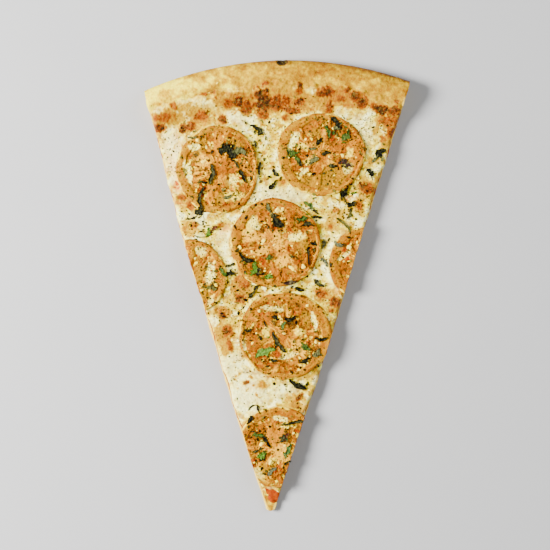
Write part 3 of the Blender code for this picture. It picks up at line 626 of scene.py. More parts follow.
def round_parts(x, y, name):
    """A round's cut face: wall and solid flesh as shares from 0 to 1, and the distance from the skin."""
    cx, cy, radius_x, radius_y, ribs = TOMATOES[name]
    wall, swing, widest = WALLS[name][:3]
    radius = (radius_x + radius_y) / 2
    reach, angle = round_reach(x, y, name)
    from_skin = (1 - reach) * radius
    wander = rough(x, y, 5, 61)
    wall_here = wall * (1 + swing * np.cos(angle - math.radians(widest)) + 0.10 * np.sin(5 * angle + cx))
    ring = 1 - smooth((from_skin - wall_here - 0.75 * wander) / 0.5)
    solid = 1 - above(reach * radius - 4.2 - 2.4 * wander, 0, 1.2)
    for rib in ribs:
        off = angle - math.radians(rib) + 0.22 * noise(x, y, 8, 63)
        sideways = np.where(np.cos(off) > 0, np.abs(np.sin(off)) * reach * radius, 99)
        breadth = (1.2 + 1.9 * (1 - reach)) * (0.85 + 1.2 * noise(x + rib, y, 6, 64))
        solid = np.maximum(solid, 1 - above(sideways - breadth - 0.7 * wander, 0, 1.2))
    return ring, solid, from_skin


def pulp(x, y, size, seed):
    """Noise in torn patches, for the mixed contents of the seed cells."""
    wx, wy = x + 1.3 * noise(x, y, 3.1, seed + 1), y + 1.3 * noise(x, y, 3.1, seed + 2)
    return rough(wx, wy, size, seed) + 0.18 * noise(x, y, 0.9, seed + 3)


def round_top(x, y, name):
    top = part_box(name)[1].z / MM
    ring, solid, from_skin = round_parts(x, y, name)
    gel = 1 - np.maximum(ring, solid)
    chunks = above(pulp(x, y, 3.4, 141), 0.30, 0.35)
    bits, _ = shards(x, y, 1.5, 151)
    height = top - 0.12 * solid * (1 - ring) + 0.16 * rough(x, y, 3, 65) + 0.22 * (bits - 0.5) * (1 - ring)
    height = height - gel * (0.75 - 0.55 * chunks + 0.30 * rough(x, y, 2.0, 66))
    height = height + 0.08 * noise(x, y, 0.9, 67) * (1 - ring) - 0.25 * spots(x, y, CREAM) * (1 - ring)
    bend = np.clip(from_skin / 1.3, 0, 1)
    height = height - 1.0 * (1 - np.sqrt(1 - (1 - bend) ** 2))
    return height - 0.25 * noise(x, y, 17, 68)


def surface(x, y):
    """The height of whatever lies on top."""
    x, y = np.asarray(x, float), np.asarray(y, float)
    height = np.maximum(np.maximum(cheese_top(x, y, pockets=False), dough_top(x, y)), sauce_top(x, y))
    for name in TOMATOES:
        reach, _ = round_reach(x, y, name)
        height = np.where(reach < 0.99, np.maximum(round_top(x, y, name), height - 0.9), height)
    return height


# ---------------------------------------------------------------- colours


def linear(colour):
    """A colour given from 0 to 255 as screens show it, in the numbers that a shader takes."""
    share = np.asarray(colour, float) / 255
    return np.where(share <= 0.04045, share / 12.92, ((share + 0.055) / 1.055) ** 2.4)


def palette(level, stops):
    """The colours at level along a list of (level, colour)."""
    colours = np.array([linear(colour) for _, colour in stops])
    at = [place for place, _ in stops]
    return np.stack([np.interp(level, at, colours[:, k]) for k in range(3)], -1)


def tint(colours, share, colour):
    """Lays colour over colours, as thickly as share."""
    share = np.clip(share, 0, 1)[:, None]
    over = linear(colour) if np.ndim(colour) == 1 else colour
    return colours * (1 - share) + over * share


def grainy(colours, x, y, amount, seed):
    """Makes colours lighter and darker from grain to grain."""
    grain = 0.6 * noise(x, y, 0.7, seed) + 0.4 * noise(x, y, 1.7, seed + 1)
    return np.clip(colours * (1 + amount * grain)[:, None], 0, 1)


def crust_level(x, y):
    """How dark the crust is: 0 is pale, 0.4 golden and 1 nearly black. It runs darker towards the right, and along the
    outer edge most of all on the right.
    """
    inset = rim_inset(x, y)
    level = 0.08 + 0.30 * smooth((x + 72) / 80) + 0.24 * rough(x, 1.6 * y, 11, 73)
    level = level + 0.22 * rough(x, 1.3 * y, 4.5, 70) + 0.18 * rough(x, y, 1.8, 74)
    level = level - 0.16 * above(rough(x, 1.5 * y, 7, 69), 0.25, 0.4)
    level = level + (0.06 + 0.22 * smooth((x + 10) / 60)) * smooth((3.0 - inset) / 3.0)
    stains = np.maximum(0.62 * spots(x, y, BROWNED, soft=2.6, ragged=0.6), 1.15 * spots(x, y, GOLDEN, soft=2.2, ragged=0.5))
    level = np.maximum(level, np.minimum(stains, 0.50) * smooth((inset - 3) / 4))
    level = level - 0.16 * spots(x, y, PALE, soft=1.2)
    return level + 0.8 * smooth((1.2 - blister_reach(x, y)) / 0.5)


def crust_colour(x, y):
    return grainy(palette(crust_level(x, y), CRUST), x, y, 0.36, 111)


def cheese_colour(x, y):
    fine = noise(x, y, 1.1, 101)
    flow = rough(x + 1.5 * noise(x, y, 5, 103), y, 5.0, 104) + 0.28 * fine
    curds = rough(x, y, 2.2, 107)
    colour = np.tile(linear(CHEESE_CREAM), (len(x), 1))
    colour = tint(colour, 0.5 * above(rough(x, y, 8, 105) + 0.3 * fine, 0.25, 0.4), CHEESE_GREEN)
    colour = tint(colour, 0.95 * above(-flow, 0.14, 0.32), CHEESE_YELLOW)
    colour = tint(colour, 0.55 * above(rough(x, y, 10, 109), 0.10, 0.5), CHEESE_YELLOW)
    colour = tint(colour, 0.75 * above(-curds, 0.20, 0.25), CHEESE_YELLOW)
    colour = tint(colour, above(flow, 0.26, 0.3), CHEESE_WHITE)
    colour = tint(colour, 0.45 * above(curds, 0.22, 0.25), CHEESE_WHITE)
    colour = tint(colour, 1.0 * above(rough(x, y, 3.6, 108) - 0.5 * flow, 0.32, 0.28), CHEESE_GOLD)
    colour = tint(colour, spots(x, y, WHITE, soft=1.6, ragged=0.5) * (0.85 + 0.4 * fine), CHEESE_WHITE)
    blush = spots(x, y, BLUSHED, soft=1.5, ragged=0.6) * (1 + 0.5 * fine)
    colour = tint(colour, 1.3 * blush, BLUSH_PINK)
    colour = tint(colour, above(blush, 0.5, 0.3), BLUSH_RED)
    level = browning(x, y)
    near = cells(x, y, 1.6, 57)[0]
    level = level + 0.40 * level * (near - 0.5)
    colour = tint(colour, level / 0.16, palette(level, TOASTED))
    thin = 1 - smooth(cheese_cover(x, y) / 0.35)
    thin = np.where(rim_inset(x, y) < 30, thin, 0)
    colour = tint(colour, thin, palette(crust_level(x, y) + 0.03, CRUST))
    return grainy(colour, x, y, 0.32, 106)


def sauce_colour(x, y):
    lumps = 0.5 + 0.5 * rough(x, y, 2.2, 121)
    return grainy(tint(np.tile(linear(SAUCE_LOW), (len(x), 1)), lumps, SAUCE_HIGH), x, y, 0.18, 122)


def round_colour(x, y, name):
    """A baked round: wall, flesh and the mixed contents of its seed cells."""
    cx, cy, radius_x, radius_y, _ribs = TOMATOES[name]
    wall, swing, widest, warmth_left_with_shade, warmth_right_with_shade = WALLS[name]
    reach, angle = round_reach(x, y, name)
    ring, solid, from_skin = round_parts(x, y, name)
    # Warmth from the left of the round to the right: partly the round's own tone, partly painted shade that makes the
    # side away from the light more orange
    warmth_with_painted_shade = mix(warmth_left_with_shade, warmth_right_with_shade, smooth(0.5 + (x - cx) / radius_x / 1.6))
    warmth_with_painted_shade = np.clip(warmth_with_painted_shade + 0.30 * rough(x, y, 6, 131), 0, 1)
    spread = 9 + 2.5 * reach
    fibres = noise(np.cos(angle) * spread, np.sin(angle) * spread, 1, 132) * smooth(reach * 4)
    fine = noise(x, y, 0.8, 133)
    many = len(x)

    flesh = tint(np.tile(linear(FLESH_PEACH), (many, 1)), warmth_with_painted_shade + 0.2 * fine, FLESH_SALMON)
    flesh = tint(flesh, 0.9 * above(fibres + 0.35 * fine, 0.16, 0.25), FLESH_PALE)
    flesh = tint(flesh, 0.9 * above(-fibres - 0.35 * fine, 0.18, 0.25), GEL_ORANGE)
    flesh = tint(flesh, 0.7 * above(rough(x, y, 2.4, 140), 0.34, 0.25), GEL_YELLOW)

    torn, border = shards(x, y, 3.0, 141)
    bits, _ = shards(x, y, 1.5, 151)
    pick = np.clip(0.5 + 1.25 * (0.6 * torn + 0.4 * bits - 0.5), 0, 1)
    starts = [start for start, _ in PULP_MIX]
    gel = np.array([linear(colour) for _, colour in PULP_MIX])[np.digitize(pick, starts) - 1]
    gel = tint(gel, 0.30 * warmth_with_painted_shade, GEL_ORANGE)
    # Painted shade: dark brown lines along the borders of the torn bits, as in crevices between them
    gel = tint(gel, 0.8 * (1 - smooth(border / 0.2)) * above(fine, -0.2, 0.5), PULP_BROWN)

    inside = gel * (1 - solid)[:, None] + flesh * solid[:, None]
    for *place, filling in FILLINGS:
        share = spots(x, y, [(*place, 1)], soft=0.4, ragged=0.6)
        inside = tint(inside, share * (0.92 + 0.3 * fine), filling)

    along_ring = 0.6 * noise(angle * 5, from_skin / 0.9, 1, 136) + 0.6 * rough(x, y, 3.0, 139)
    outer = tint(np.tile(linear(WALL_YELLOW), (many, 1)), warmth_with_painted_shade + 0.5 * along_ring, WALL_ORANGE)
    # Painted highlight: a lighter band along the middle of the wall, fainter where the wall is more orange
    middle = np.exp(-(((from_skin / wall - 0.60) / 0.30) ** 2))
    outer = tint(outer, 0.5 * middle * (1 - 0.5 * warmth_with_painted_shade) - 0.6 * along_ring, WALL_GOLD_AND_HIGHLIGHT)
    outer = tint(outer, 0.7 * above(rough(x, y, 2.2, 134), 0.36, 0.3), FLESH_SALMON)
    outer = tint(outer, 0.6 * above(rough(x, y, 1.6, 130), 0.46, 0.3), PULP_BROWN)
    outer = tint(outer, smooth((0.5 - from_skin) / 0.5) * (0.25 + 0.7 * rough(x, y, 5, 137)), SKIN)
    creeping = smooth((0.9 + 0.7 * noise(x, y, 2.5, 128) - from_skin) / 0.5) * above(noise(x, y, 7, 129), 0.12, 0.4)
    outer = tint(outer, creeping, PULP_CREAM)
    colour = inside * (1 - ring)[:, None] + outer * ring[:, None]
    thin_side = 0.5 - 0.5 * np.cos(angle - math.radians(widest))
    second_line = np.exp(-(((from_skin - 3.1 - 0.5 * rough(x, y, 5, 138)) / 0.4) ** 2))
    colour = tint(colour, 0.75 * second_line * thin_side, WALL_ORANGE)
    # Painted highlight: a pale line along the inner edge of the wall
    inner_edge_highlight = ring * (1 - ring) * 4
    colour = tint(colour, 0.6 * inner_edge_highlight * above(np.sin(3 * angle + cy), -0.2, 1.2), FLESH_PALE)
    cream = spots(x, y, CREAM, soft=0.5, ragged=0.5) * (from_skin > 1.6)
    colour = tint(colour, cream, CHEESE_CREAM)
    colour = tint(colour, 0.9 * cream * above(fine, 0.0, 0.3), CHEESE_WHITE)
    return grainy(colour, x, y, 0.16 + 0.12 * (1 - ring), 135)


# ---------------------------------------------------------------- meshes


def hex_points(spacing, keep):
    """A triangular lattice over the slice, of the points for which keep is true."""
    xs = np.arange(-WIDTH / 2 - 2, WIDTH / 2 + 2, spacing)
    ys = np.arange(-LENGTH / 2 - 2, LENGTH / 2 + 2, spacing * math.sqrt(3) / 2)
    x, y = np.meshgrid(xs, ys)
    x = x + spacing / 2 * (np.arange(len(ys)) % 2)[:, None]
    x, y = x.ravel(), y.ravel()
    inside = (cut_inset(x, y, 0)[0] > 0) & (cut_inset(x, y, 1)[0] > 0) & (rim_inset(x, y) > 0)
    x, y = x[inside], y[inside]
    kept = keep(x, y)
    return np.stack([x[kept], y[kept]], -1)


def clear_of(points, others, distance):
    """The points that are at least this far from all the others."""
    tree = kdtree.KDTree(len(others))
    for index, (x, y) in enumerate(others):
        tree.insert((x, y, 0), index)
    tree.balance()
    far = [tree.find((x, y, 0))[2] > distance for x, y in points]
    return points[np.array(far, bool)]


def within(loop, points):
    """Which of the points lie inside the loop."""
    x, y = points.T
    odd = np.zeros(len(points), bool)
    for (x1, y1), (x2, y2) in zip(loop, np.roll(loop, -1, 0)):
        if y1 != y2:
            odd ^= ((y1 > y) != (y2 > y)) & (x < x1 + (x2 - x1) * (y - y1) / (y2 - y1))
    return odd


def triangulate(loop, inner):
    """The loop's inside as triangles. The loop's points come first in what it returns."""
    count = len(loop)
    edges = [(k, (k + 1) % count) for k in range(count)]
    points = [Vector(p) for p in np.concatenate([loop, inner[within(loop, inner)]])]
    made, _, triangles, *_ = delaunay_2d_cdt(points, edges, [], 1, 1e-7, False)
    made, triangles = np.array([tuple(p) for p in made]), np.array(triangles)
    assert np.allclose(made[:count], loop, atol=1e-4), "the triangulation moved the outline"
    kept = np.ones(len(triangles), bool)
    bridging = (triangles < count).all(1)
    kept[bridging] = within(loop, made[triangles[bridging]].mean(1))
    return made, triangles[kept]


def solid_mesh(name, loop, top_inner, low_inner, top, low, rows, push=None):
    """A closed solid under the height top and over the height low, with a wall of rows round its outline.

    push moves the wall's points outwards. The object gets the attribute side: 0 on top, 1 on the wall
    and 2 underneath.
    """
    count = len(loop)
    upper, upper_faces = triangulate(loop, top_inner)
    lower, lower_faces = triangulate(loop, low_inner)
    upper_z, lower_z = top(*upper.T), low(*lower.T)
    upper_z[:count] = np.maximum(upper_z[:count], lower_z[:count])
    closed = upper_z[:count] - lower_z[:count] < 0.02
    points = [np.column_stack([upper, upper_z]), np.column_stack([lower, lower_z])]
    ahead = np.roll(loop, -1, 0) - np.roll(loop, 1, 0)
    outwards = np.stack([ahead[:, 1], -ahead[:, 0]], -1) / np.linalg.norm(ahead, axis=1)[:, None]
    travel = np.concatenate([[0], np.cumsum(np.linalg.norm(np.diff(loop, axis=0), axis=1))])
    ids = [np.arange(count) + len(upper)]
    for row in range(1, rows):
        share = row / rows
        z = mix(lower_z[:count], upper_z[:count], share)
        moved = loop
        if push:
            fade = math.sin(math.pi * share) ** 0.6
            moved = loop + outwards * (push(travel, z) * fade)[:, None]
        ids.append(np.arange(count) + sum(len(p) for p in points))
        points.append(np.column_stack([moved, z]))
    ids.append(np.arange(count))
    points = np.concatenate(points)
    same = np.arange(len(points))
    for row in ids[1:]:
        same[row[closed]] = ids[0][closed]
    faces = [same[upper_faces], same[lower_faces[:, ::-1] + len(upper)]]
    for below, above in zip(ids, ids[1:]):
        b, a = same[below], same[above]
        b2, a2 = np.roll(b, -1), np.roll(a, -1)
        faces += [np.stack([b, b2, a2], -1), np.stack([b, a2, a], -1)]
    faces = np.concatenate(faces)
    whole = (faces[:, 0] != faces[:, 1]) & (faces[:, 1] != faces[:, 2]) & (faces[:, 0] != faces[:, 2])
    faces = faces[whole]
    side = np.ones(len(points))
    side[: len(upper)] = 0
    side[len(upper) : len(upper) + len(lower)] = 2
    used, index = np.unique(faces, return_inverse=True)
    return mesh_object(name, points[used], index.reshape(-1, 3), {"side": side[used]})


def mesh_object(name, points, faces, attributes=None, smooth_angle=50):
    mesh = bpy.data.meshes.new(name)
    mesh.from_pydata((np.asarray(points) * MM).tolist(), [], np.asarray(faces).tolist())
    for key, values in (attributes or {}).items():
        give(mesh, key, values)
    mesh.shade_smooth()
    if smooth_angle:
        mesh.set_sharp_from_angle(angle=math.radians(smooth_angle))
    obj = bpy.data.objects.new(name, mesh)
    bpy.context.scene.collection.objects.link(obj)
    return obj


def give(mesh, key, values):
    """Stores a number or a colour on each vertex."""
    values = np.asarray(values, np.float32)
    if values.ndim == 1:
        mesh.attributes.new(key, "FLOAT", "POINT").data.foreach_set("value", values)
    else:
        rgba = np.column_stack([values, np.ones(len(values), np.float32)])
        mesh.attributes.new(key, "FLOAT_COLOR", "POINT").data.foreach_set("color", rgba.ravel())


def sides(obj):
    """0 for each vertex on top, 1 on the wall and 2 underneath."""
    side = np.empty(len(obj.data.vertices), np.float32)
    obj.data.attributes["side"].data.foreach_get("value", side)
    return side


def places(obj):
    """The x, y and z of each vertex."""
    flat = np.empty(len(obj.data.vertices) * 3, np.float32)
    obj.data.vertices.foreach_get("co", flat)
    return flat.reshape(-1, 3).astype(float).T / MM


def layer_loop(spacing, ragged, tip_row, rim_row, rim_steps=()):
    """A layer's outline, anticlockwise from the tip's left corner.

    ragged gives the inset from each cut. tip_row and rim_row are how far the layer's ends lie from the
    tip and from the outer arc. rim_steps are extra insets where the cuts get points.
    """
    long = np.linalg.norm(rim_point(0.5) - tip_point(0.5))

    def side(which):
        length = np.linalg.norm(rim_point(which) - tip_point(which))
        steps = [rim_row + s for s in rim_steps]
        first = (steps[-1] if steps else rim_row) + spacing
        plain = np.arange(first, length - tip_row - spacing / 2, spacing)
        v = 1 - np.concatenate([[rim_row], steps, plain, [length - tip_row]]) / length
        width = np.linalg.norm(plan_point(1, v) - plan_point(0, v), axis=1)
        share = np.minimum(ragged(v, which) / width, 0.35)
        return plan_point(1 - share if which else share, v), share

    left, left_share = side(0)
    right, right_share = side(1)

    def end(inset_share, u_from, u_to):
        a, b = plan_point(u_from, inset_share), plan_point(u_to, inset_share)
        count = max(2, int(np.linalg.norm(b - a) / spacing))
        return plan_point(np.linspace(u_from, u_to, count + 1)[1:-1], inset_share)

    tip_end = end(tip_row / long, left_share[-1], 1 - right_share[-1])
    rim_end = end(1 - rim_row / long, 1 - right_share[0], left_share[0])
    return np.concatenate([left[-1:], tip_end, right[::-1], rim_end, left[:-1]])


# ---------------------------------------------------------------- materials


class Finish:
    """A material under construction. Its colour starts from the attribute tone."""

    def __init__(self, name, specular, subsurface=0.0, reach=1.0, glint=(255, 255, 255)):
        self.material = bpy.data.materials.new(name)
        self.material.use_nodes = True
        self.tree = self.material.node_tree
        self.shader = self.tree.nodes["Principled BSDF"]
        self.shader.inputs["Specular IOR Level"].default_value = specular
        self.shader.inputs["Subsurface Weight"].default_value = subsurface
        self.shader.inputs["Subsurface Radius"].default_value = (1.0, 0.5, 0.2)
        self.shader.inputs["Subsurface Scale"].default_value = reach * MM
        self.shader.inputs["Specular Tint"].default_value = (*linear(glint), 1)
        where = self.tree.nodes.new("ShaderNodeTexCoord")
        self.place = self.tree.nodes.new("ShaderNodeVectorMath")
        self.place.operation = "SCALE"
        self.place.inputs["Scale"].default_value = 1 / MM
        self.tree.links.new(where.outputs["Object"], self.place.inputs[0])

    def put(self, value, socket):
        if isinstance(value, bpy.types.NodeSocket):
            self.tree.links.new(value, socket)
        elif isinstance(value, (tuple, list)):
            socket.default_value = (*linear(value), 1)
        else:
            socket.default_value = value

    def tone(self):
        node = self.tree.nodes.new("ShaderNodeAttribute")
        node.attribute_name = "tone"
        return node.outputs["Color"]

    def noise(self, size, detail=2.0, roughness=0.5, warp=0.0):
        """0..1, with lumps about size mm across."""
        node = self.tree.nodes.new("ShaderNodeTexNoise")
        node.inputs["Scale"].default_value = 1 / size
        node.inputs["Detail"].default_value = detail
        node.inputs["Roughness"].default_value = roughness
        node.inputs["Distortion"].default_value = warp
        self.tree.links.new(self.place.outputs[0], node.inputs["Vector"])
        return node.outputs["Fac"]

    def cells(self, size, feature="F1"):
        node = self.tree.nodes.new("ShaderNodeTexVoronoi")
        node.feature = feature
        node.inputs["Scale"].default_value = 1 / size
        self.tree.links.new(self.place.outputs[0], node.inputs["Vector"])
        return node.outputs["Distance"]

    def span(self, value, low, high, to_low=0.0, to_high=1.0):
        """value's stretch from low to high, spread from to_low to to_high with soft ends."""
        node = self.tree.nodes.new("ShaderNodeMapRange")
        node.interpolation_type = "SMOOTHSTEP"
        for socket, number in zip(node.inputs[1:5], (low, high, to_low, to_high)):
            socket.default_value = number
        self.put(value, node.inputs[0])
        return node.outputs[0]

    def blend(self, share, a, b, how="MIX"):
        node = self.tree.nodes.new("ShaderNodeMix")
        node.data_type = "RGBA"
        node.blend_type = how
        self.put(share, node.inputs[0])
        self.put(a, node.inputs[6])
        self.put(b, node.inputs[7])
        return node.outputs[2]

    def bump(self, height, distance, strength=1.0, under=None):
        node = self.tree.nodes.new("ShaderNodeBump")
        node.inputs["Distance"].default_value = distance * MM
        node.inputs["Strength"].default_value = strength
        self.put(height, node.inputs["Height"])
        if under:
            self.put(under, node.inputs["Normal"])
        return node.outputs[0]

    def done(self, colour, roughness, normal=None):
        self.put(colour, self.shader.inputs["Base Color"])
        self.put(roughness, self.shader.inputs["Roughness"])
        if normal:
            self.put(normal, self.shader.inputs["Normal"])
        return self.material


def dough_finish():
    """Matt baked crust with fine flour, grain and pinholes."""
    f = Finish("baked_dough", 0.10, subsurface=0.08, reach=1.0, glint=(255, 200, 0))
    fine = f.noise(0.55, 3, 0.65)
    patch = f.noise(3.0, 3, 0.6)
    pinhole = f.cells(1.3)
    colour = f.blend(f.span(patch, 0.48, 0.72, 0.0, 0.35), f.tone(), (238, 186, 60), "MULTIPLY")
    colour = f.blend(f.span(fine, 0.50, 0.72, 0.0, 0.25), colour, (248, 216, 60))
    # Painted shade: darker where the pinholes are, which the bump below also sinks
    colour = f.blend(f.span(pinhole, 0.05, 0.22, 0.5, 0.0), colour, (190, 120, 40), "MULTIPLY")
    relief = f.bump(patch, 0.9, 0.5)
    relief = f.bump(f.span(pinhole, 0.0, 0.25), 0.18, 0.6, relief)
    relief = f.bump(fine, 0.32, 0.8, relief)
    return f.done(colour, f.span(patch, 0.2, 0.8, 0.60, 0.80), relief)


def sauce_finish():
    f = Finish("cooked_sauce", 0.30, subsurface=0.10, reach=0.8, glint=(255, 160, 0))
    lumps = f.noise(1.0, 4, 0.65)
    colour = f.blend(f.span(lumps, 0.35, 0.65, 0.5, 0.0), f.tone(), (170, 70, 30), "MULTIPLY")
    return f.done(colour, f.span(lumps, 0.2, 0.8, 0.28, 0.5), f.bump(lumps, 0.3, 0.7))


def cheese_finish():
    """Melted cheese: oily in places, finely wrinkled, with grain in its colour."""
    f = Finish("melted_cheese", 0.30, subsurface=0.12, reach=0.9, glint=(255, 222, 40))
    fine = f.noise(0.5, 3, 0.7)
    wrinkle = f.noise(1.5, 4, 0.62, 0.8)
    oil = f.noise(4.5, 3, 0.55, 0.5)
    colour = f.blend(f.span(wrinkle, 0.50, 0.74, 0.0, 0.40), f.tone(), (246, 206, 110), "MULTIPLY")
    colour = f.blend(f.span(fine, 0.56, 0.74, 0.0, 0.25), colour, (253, 240, 130))
    colour = f.blend(f.span(fine, 0.44, 0.26, 0.0, 0.40), colour, (200, 150, 60), "MULTIPLY")
    relief = f.bump(wrinkle, 0.85, 0.7)
    relief = f.bump(fine, 0.30, 0.8, relief)
    return f.done(colour, f.span(oil, 0.35, 0.65, 0.20, 0.46), relief)


def tomato_finish():
    """Baked tomato: wet and glossy, with soft fibres and grainy pulp."""
    f = Finish("baked_tomato", 0.38, subsurface=0.08, reach=0.7, glint=(255, 190, 0))
    fine = f.noise(0.5, 3, 0.7)
    fibre = f.noise(1.2, 4, 0.65, 1.2)
    wet = f.noise(3.2, 3, 0.6)
    colour = f.blend(f.span(fibre, 0.50, 0.72, 0.0, 0.50), f.tone(), (236, 156, 40), "MULTIPLY")
    colour = f.blend(f.span(fine, 0.58, 0.74, 0.0, 0.25), colour, (204, 146, 10))
    relief = f.bump(fibre, 0.75, 0.7)
    relief = f.bump(fine, 0.28, 0.7, relief)
    return f.done(colour, f.span(wet, 0.35, 0.65, 0.13, 0.34), relief)


def leaf_finish():
    f = Finish("wilted_basil", 0.03)
    fine = f.noise(0.4, 3, 0.6)
    colour = f.blend(f.span(f.noise(0.9, 3, 0.6), 0.40, 0.66, 0.0, 0.75), f.tone(), (90, 80, 60), "MULTIPLY")
    colour = f.blend(f.span(fine, 0.66, 0.80, 0.0, 0.20), colour, (120, 128, 70))
    return f.done(colour, f.span(fine, 0.3, 0.7, 0.30, 0.55), f.bump(fine, 0.2, 0.7))


def fleck_finish():
    f = Finish("dried_herbs", 0.03)
    colour = f.blend(f.span(f.noise(0.4), 0.4, 0.7, 0.0, 0.5), f.tone(), (90, 80, 60), "MULTIPLY")
    return f.done(colour, 0.7)


def crumb_finish():
    f = Finish("cheese_crumbs", 0.20, subsurface=0.15, reach=0.8, glint=(255, 225, 60))
    fine = f.noise(0.5, 3, 0.65)
    colour = f.blend(f.span(f.noise(1.4, 3, 0.6), 0.45, 0.65, 0.0, 0.6), f.tone(), (240, 190, 80), "MULTIPLY")
    colour = f.blend(f.span(fine, 0.55, 0.75, 0.0, 0.3), colour, (252, 246, 180))
    return f.done(colour, 0.5, f.bump(fine, 0.2, 0.6))


def seed_finish():
    f = Finish("tomato_seeds", 0.35, subsurface=0.1, reach=0.6, glint=(255, 190, 0))
    return f.done(f.tone(), 0.3, f.bump(f.noise(0.5), 0.1, 0.5))


def floor_finish():
    f = Finish("pale_floor", 0.2)
    return f.done(f.blend(f.noise(60.0, 2), (161, 162, 164), (166, 166, 166)), 0.85)


# ---------------------------------------------------------------- pieces


def nearest_cut(x, y):
    return np.minimum(cut_inset(x, y, 0)[0], cut_inset(x, y, 1)[0])


def rim_rows(insets, spacing):
    """Points in rows along the outer arc, clear of the cuts."""
    rows = []
    for inset in insets:
        radius = RIM_ARC_RADIUS - inset
        angle = np.arange(-0.45, 0.45, spacing / radius)
        x = RIM_ARC_SHIFT + radius * np.sin(angle)
        y = LENGTH / 2 - RIM_ARC_RADIUS + radius * np.cos(angle)
        clear = nearest_cut(x, y) > 0.9
        rows.append(np.stack([x[clear], y[clear]], -1))
    return np.concatenate(rows)


def crumb_pores(travel, z):
    """The open crumb of the cut face: pores that are wide in the rim and flat in the base."""
    near = cells(travel, z * 1.5, 1.9, 71)[0]
    small = cells(travel, z * 1.4, 0.9, 72)[0]
    return 0.15 - 0.85 * smooth((0.45 - near) / 0.3) - 0.35 * smooth((0.42 - small) / 0.3)


def cut_colour(x, y, z):
    """The dough's cut face: pale crumb between a browned top and a browned foot."""
    travel = y * 1.05
    near = cells(travel, z * 1.5, 1.9, 71)[0]
    crumb = tint(np.tile(linear(CRUMB_PALE), (len(x), 1)), 0.5 + 0.7 * rough(travel, z, 2.4, 75), CRUMB_GOLD)
    # Painted shade: darker spots for the crumb's pores, from the same cells that crumb_pores uses
    crumb = tint(crumb, 0.6 * above(0.34 - near, 0, 0.2), (170, 110, 30))
    crust = palette(crust_level(x, y) + 0.12, CRUST)
    foot = palette(0.55 + 0.15 * rough(travel, z, 3, 76), CRUST)
    colour = tint(crumb, 1 - smooth((dough_top(x, y) - z - 0.25) / 0.7), crust)
    return tint(colour, 1 - smooth((z - dough_low(x, y) - 0.3) / 0.7), foot)


def beneath_colour(x, y):
    """The dough's underside: browned in blotches, with darker scorch marks and flour."""
    level = 0.46 + 0.16 * rough(x, y, 12, 77) + 0.25 * above(rough(x, y, 4, 78), 0.3, 0.4)
    colour = palette(level, CRUST)
    return tint(colour, 0.5 * above(rough(x, y, 3, 79), 0.45, 0.3), (250, 236, 190))


def make_dough():
    steps = RIM_TOP_INSET * (1 - np.cos(np.radians(np.arange(6, 60, 6))))
    loop = layer_loop(0.5, dough_ragged, 0.0, 0.0, tuple(steps))

    def shows(x, y):
        inset = rim_inset(x, y)
        return (inset > steps[-1] + 0.3) & ((inset < 22) | (nearest_cut(x, y) < 4.5) | (tip_distance(y) < 20))

    def hidden(x, y):
        return ~shows(x, y) & (rim_inset(x, y) > 20)

    fine = hex_points(0.5, shows)
    coarse = hex_points(2.4, hidden)
    top_inner = np.concatenate([rim_rows(steps, 0.55), clear_of(np.concatenate([fine, coarse]), loop, 0.28)])
    under = hex_points(1.2, lambda x, y: rim_inset(x, y) > RIM_FOOT_INSET + 0.6)
    low_inner = np.concatenate([rim_rows([*steps, RIM_FOOT_INSET], 0.8), clear_of(under, loop, 0.6)])
    obj = solid_mesh("dough_baked", loop, top_inner, low_inner, dough_top, dough_low, 12, crumb_pores)
    x, y, z = places(obj)
    side = sides(obj)
    inset = rim_inset(x, y)
    top = crust_colour(x, y)
    top_edge = smooth((1.3 - nearest_cut(x, y)) / 0.6) * smooth((inset - 8) / 5)
    top = tint(top, 0.8 * top_edge, CRUMB_PALE)
    wall = np.where((inset < 0.4)[:, None], top, cut_colour(x, y, z))
    low = palette(0.5 + 0.1 * rough(x, y, 3, 80), CRUST)
    outer_low = np.where((inset < RIM_FOOT_INSET)[:, None], tint(low, 1 - inset / RIM_FOOT_INSET, top), beneath_colour(x, y))
    colour = np.where((side < 0.5)[:, None], top, np.where((side < 1.5)[:, None], wall, outer_low))
    give(obj.data, "tone", colour)
    return obj


def make_sauce():
    loop = layer_loop(0.6, sauce_ragged, 2.0, 13.0)

    def shows(x, y):
        return (nearest_cut(x, y) < 4) | (tip_distance(y) < 18)

    def hidden(x, y):
        return ~shows(x, y) & (rim_inset(x, y) > 14)

    fine = hex_points(0.6, shows)
    coarse = hex_points(2.2, hidden)
    inner = clear_of(np.concatenate([fine[rim_inset(*fine.T) > 13.5], coarse]), loop, 0.35)
    under = clear_of(hex_points(2.2, lambda x, y: rim_inset(x, y) > 14), loop, 0.8)

    def low(x, y):
        return np.minimum(dough_top(x, y), sauce_top(x, y)) - 0.25

    def ooze(travel, z):
        return 0.15 + 0.3 * noise(travel, z, 2.2, 78)

    obj = solid_mesh("sauce_layer", loop, inner, under, sauce_top, low, 4, ooze)
    x, y, _ = places(obj)
    give(obj.data, "tone", sauce_colour(x, y))
    return obj


def make_cheese():
    loop = layer_loop(0.5, cheese_ragged, 8.0, 6.5)
    inner = hex_points(0.5, lambda x, y: (rim_inset(x, y) > 6.8) & (tip_distance(y) > 8))
    under = hex_points(2.2, lambda x, y: (rim_inset(x, y) > 8) & (tip_distance(y) > 9))

    def drape(travel, z):
        return 0.12 + 0.22 * noise(travel, z, 2.6, 79)

    inner, under = clear_of(inner, loop, 0.27), clear_of(under, loop, 0.8)
    obj = solid_mesh("cheese_melted", loop, inner, under, cheese_top, cheese_low, 5, drape)
    x, y, _ = places(obj)
    give(obj.data, "tone", cheese_colour(x, y))
    return obj


